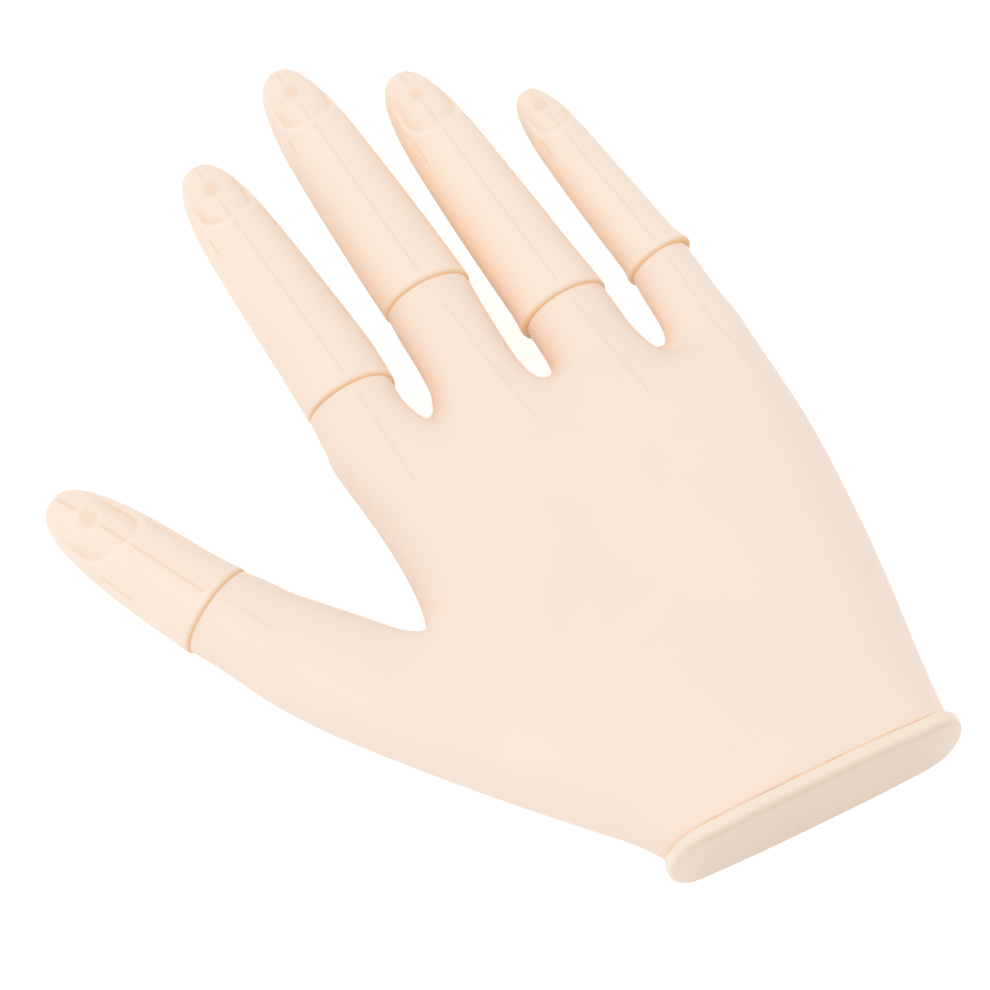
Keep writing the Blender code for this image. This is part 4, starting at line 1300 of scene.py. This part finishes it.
def vinyl(name, colour, mottle, hollow_shade_colour, glow_colour, shade_and_highlight_colour):
    """Soft moulded vinyl: faint clouds of colour, a satin skin, painted shade and glow in hollows, at seams
    and in the mould's marks, painted shade along the palm's raised lines, and a painted highlight on the
    cuticles.
    """
    make = Shader(name)
    base = make.surface(colour, mottle, **VINYL_NOISES)
    openness, glow = make.openness(HOLLOW_REACH), make.attribute("glow")
    # Painted shade in hollows and beside near parts: the colour turns to the warmer, darker hollow colour
    base = make.blend(openness, hollow_shade_colour, base)
    # Painted shade along the palm's raised lines, and a painted highlight on the sleeves' cuticle rims
    base = make.blend(make.attribute("line_shade_and_highlight"), base, shade_and_highlight_colour)
    # Painted glow in hollows, as emission
    hollows = make.sum(openness, -HOLLOW_GLOW_STRENGTH, HOLLOW_GLOW_STRENGTH)
    inputs = {
        # Painted shade and glow where the glow attribute is: a darker orange colour and an orange emission
        "Base Color": make.blend(glow, base, glow_colour),
        "Emission Color": GLOW_LIGHT,
        "Emission Strength": make.sum(glow, GLOW_STRENGTH, hollows),
        "Specular IOR Level": VINYL_SPECULAR,
    }
    make.give(make.shader, inputs)
    return make.material


def hard_plastic(name, colour, mottle, edge_highlight_colour=None):
    """Moulded plastic with a fine satin grain, whose rounded edge may get a paler painted highlight."""
    make = Shader(name)
    base = make.surface(colour, mottle, **PLASTIC_NOISES)
    if edge_highlight_colour:
        base = make.blend(make.attribute("edge"), base, edge_highlight_colour)
    make.give(make.shader, {"Base Color": base})
    return make.material


def steel(name, colour, mottle):
    """Turned steel with a fine grain."""
    make = Shader(name)
    base = make.surface(colour, mottle, harsh=0.5, depth=0.01 * MM, **STEEL_NOISES)
    make.give(make.shader, {"Base Color": base, "Metallic": 1.0})
    return make.material


def dress_inner_nodes():
    """Gives the skeleton's nodes, which keep their own shapes, their plastic and steel."""
    finishes = {"bone": bone_plastic, "core": core_plastic, "pin": pin_steel, "screw": screw_steel}
    for name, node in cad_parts.items():
        for word, material in finishes.items():
            if word in name:
                for slot in node.material_slots:
                    slot.link = "OBJECT"
                    slot.material = material


# Floor, light and camera
CAMERA_AZIMUTH = -26.9 * DEGREE
CAMERA_ELEVATION = 64.0 * DEGREE
CAMERA_DISTANCE = 0.8
CAMERA_SPAN = 0.198
CAMERA_TARGET = Vector((-0.02559, 0.08768, 0.0))
CAMERA_NEAR = 0.01
SENSOR = 36.0
FLOOR_HALF = 3.0
KEY_SIZE = 1.2
KEY_DISTANCE = 1.4
KEY_POWER = 3.3
KEY_FROM = Vector((-0.5, 0.0, 1.0))
WORLD_STRENGTH = 0.87
FLOOR_LIFT_STRENGTH = 0.66
FLOOR_COLOUR = (0.9, 0.9, 0.9, 1)
WHITE = (1, 1, 1, 1)


def aim(obj, direction, distance):
    """Puts a camera or a lamp in this direction from the target, and turns it to face the target."""
    obj.location = CAMERA_TARGET + direction * distance
    obj.rotation_euler = (-direction).to_track_quat("-Z", "Y").to_euler()
    bpy.context.scene.collection.objects.link(obj)


def make_camera():
    data = bpy.data.cameras.new("camera")
    data.sensor_width = SENSOR
    data.lens = SENSOR * CAMERA_DISTANCE / CAMERA_SPAN
    data.clip_start = CAMERA_NEAR
    camera = bpy.data.objects.new("camera", data)
    flat = math.cos(CAMERA_ELEVATION)
    across, back = math.sin(CAMERA_AZIMUTH) * flat, -math.cos(CAMERA_AZIMUTH) * flat
    aim(camera, Vector((across, back, math.sin(CAMERA_ELEVATION))), CAMERA_DISTANCE)
    bpy.context.scene.camera = camera


def make_key_light():
    data = bpy.data.lights.new("key_light", "AREA")
    data.shape = "DISK"
    data.size = KEY_SIZE
    data.energy = KEY_POWER
    aim(bpy.data.objects.new("key_light", data), KEY_FROM.normalized(), KEY_DISTANCE)


def seen_straight(make):
    """1 for rays from the camera or a mirror, 0 for light that falls on the object."""
    path = make.node("ShaderNodeLightPath", {})
    seen = path["Is Camera Ray"]
    for kind in ("Is Glossy Ray", "Is Transmission Ray"):
        seen = make.node("ShaderNodeMath", {0: seen, 1: path[kind]}, operation="MAXIMUM")[0]
    return seen


def make_world():
    make = Shader("soft_white", bpy.data.worlds, "Background")
    inputs = {"Value": seen_straight(make), "To Min": WORLD_STRENGTH, "To Max": 1.0}
    strength = make.node("ShaderNodeMapRange", inputs)["Result"]
    make.give(make.shader, {"Color": WHITE, "Strength": strength})
    bpy.context.scene.world = make.material


def make_floor(height):
    shape = bmesh.new()
    bmesh.ops.create_grid(shape, x_segments=1, y_segments=1, size=FLOOR_HALF)
    bmesh.ops.translate(shape, vec=(0, 0, height), verts=shape.verts)
    make = Shader("floor_white")
    lift = {0: seen_straight(make), 1: FLOOR_LIFT_STRENGTH}
    inputs = {
        "Base Color": FLOOR_COLOUR,
        "Roughness": 0.9,
        "Specular IOR Level": 0.0,
        "Emission Color": WHITE,
        "Emission Strength": make.node("ShaderNodeMath", lift, operation="MULTIPLY")[0],
    }
    make.give(make.shader, inputs)
    floor = add_object("floor", as_mesh(shape, "floor"), stage, make.material)


# Run it
bpy.context.scene.view_settings.view_transform = "Standard"
hand = new_collection("nail_practice_hand")
helpers = new_collection("helpers")
stage = new_collection("stage")
palm_vinyl = vinyl(
    "palm_vinyl",
    colour=(0.94, 0.79, 0.68),
    mottle=(0.93, 0.775, 0.665),
    # The hollow and glow colours are painted shade and glow; the last is painted shade along the stubs'
    # raised lines
    hollow_shade_colour=(0.96, 0.73, 0.57),
    glow_colour=(0.78, 0.52, 0.32),
    shade_and_highlight_colour=(0.92, 0.70, 0.59),
)
sleeve_vinyl = vinyl(
    "sleeve_vinyl",
    colour=(0.96, 0.805, 0.685),
    mottle=(0.95, 0.79, 0.67),
    # The hollow and glow colours are painted shade and glow; the last is a painted highlight on the cuticles'
    # rims
    hollow_shade_colour=(0.96, 0.72, 0.53),
    glow_colour=(0.76, 0.47, 0.25),
    shade_and_highlight_colour=(0.98, 0.88, 0.80),
)
# The plug's last colour is the painted highlight on its rounded edge
plug_plastic = hard_plastic("plug_plastic", (0.81, 0.645, 0.52), (0.795, 0.63, 0.505), (0.92, 0.79, 0.655))
core_plastic = hard_plastic("core_plastic", (0.80, 0.80, 0.77), (0.77, 0.77, 0.74))
bone_plastic = hard_plastic("bone_plastic", (0.85, 0.85, 0.82), (0.82, 0.82, 0.79))
pin_steel = steel("pin_steel", (0.60, 0.60, 0.62), (0.55, 0.55, 0.57))
screw_steel = steel("screw_steel", (0.55, 0.55, 0.57), (0.50, 0.50, 0.52))

make_camera()
make_key_light()
make_world()
make_palm_skin()
make_wrist_plug()
for digit in DIGITS:
    make_sleeve(digit)
dress_inner_nodes()
make_floor(frame_box[0].z)
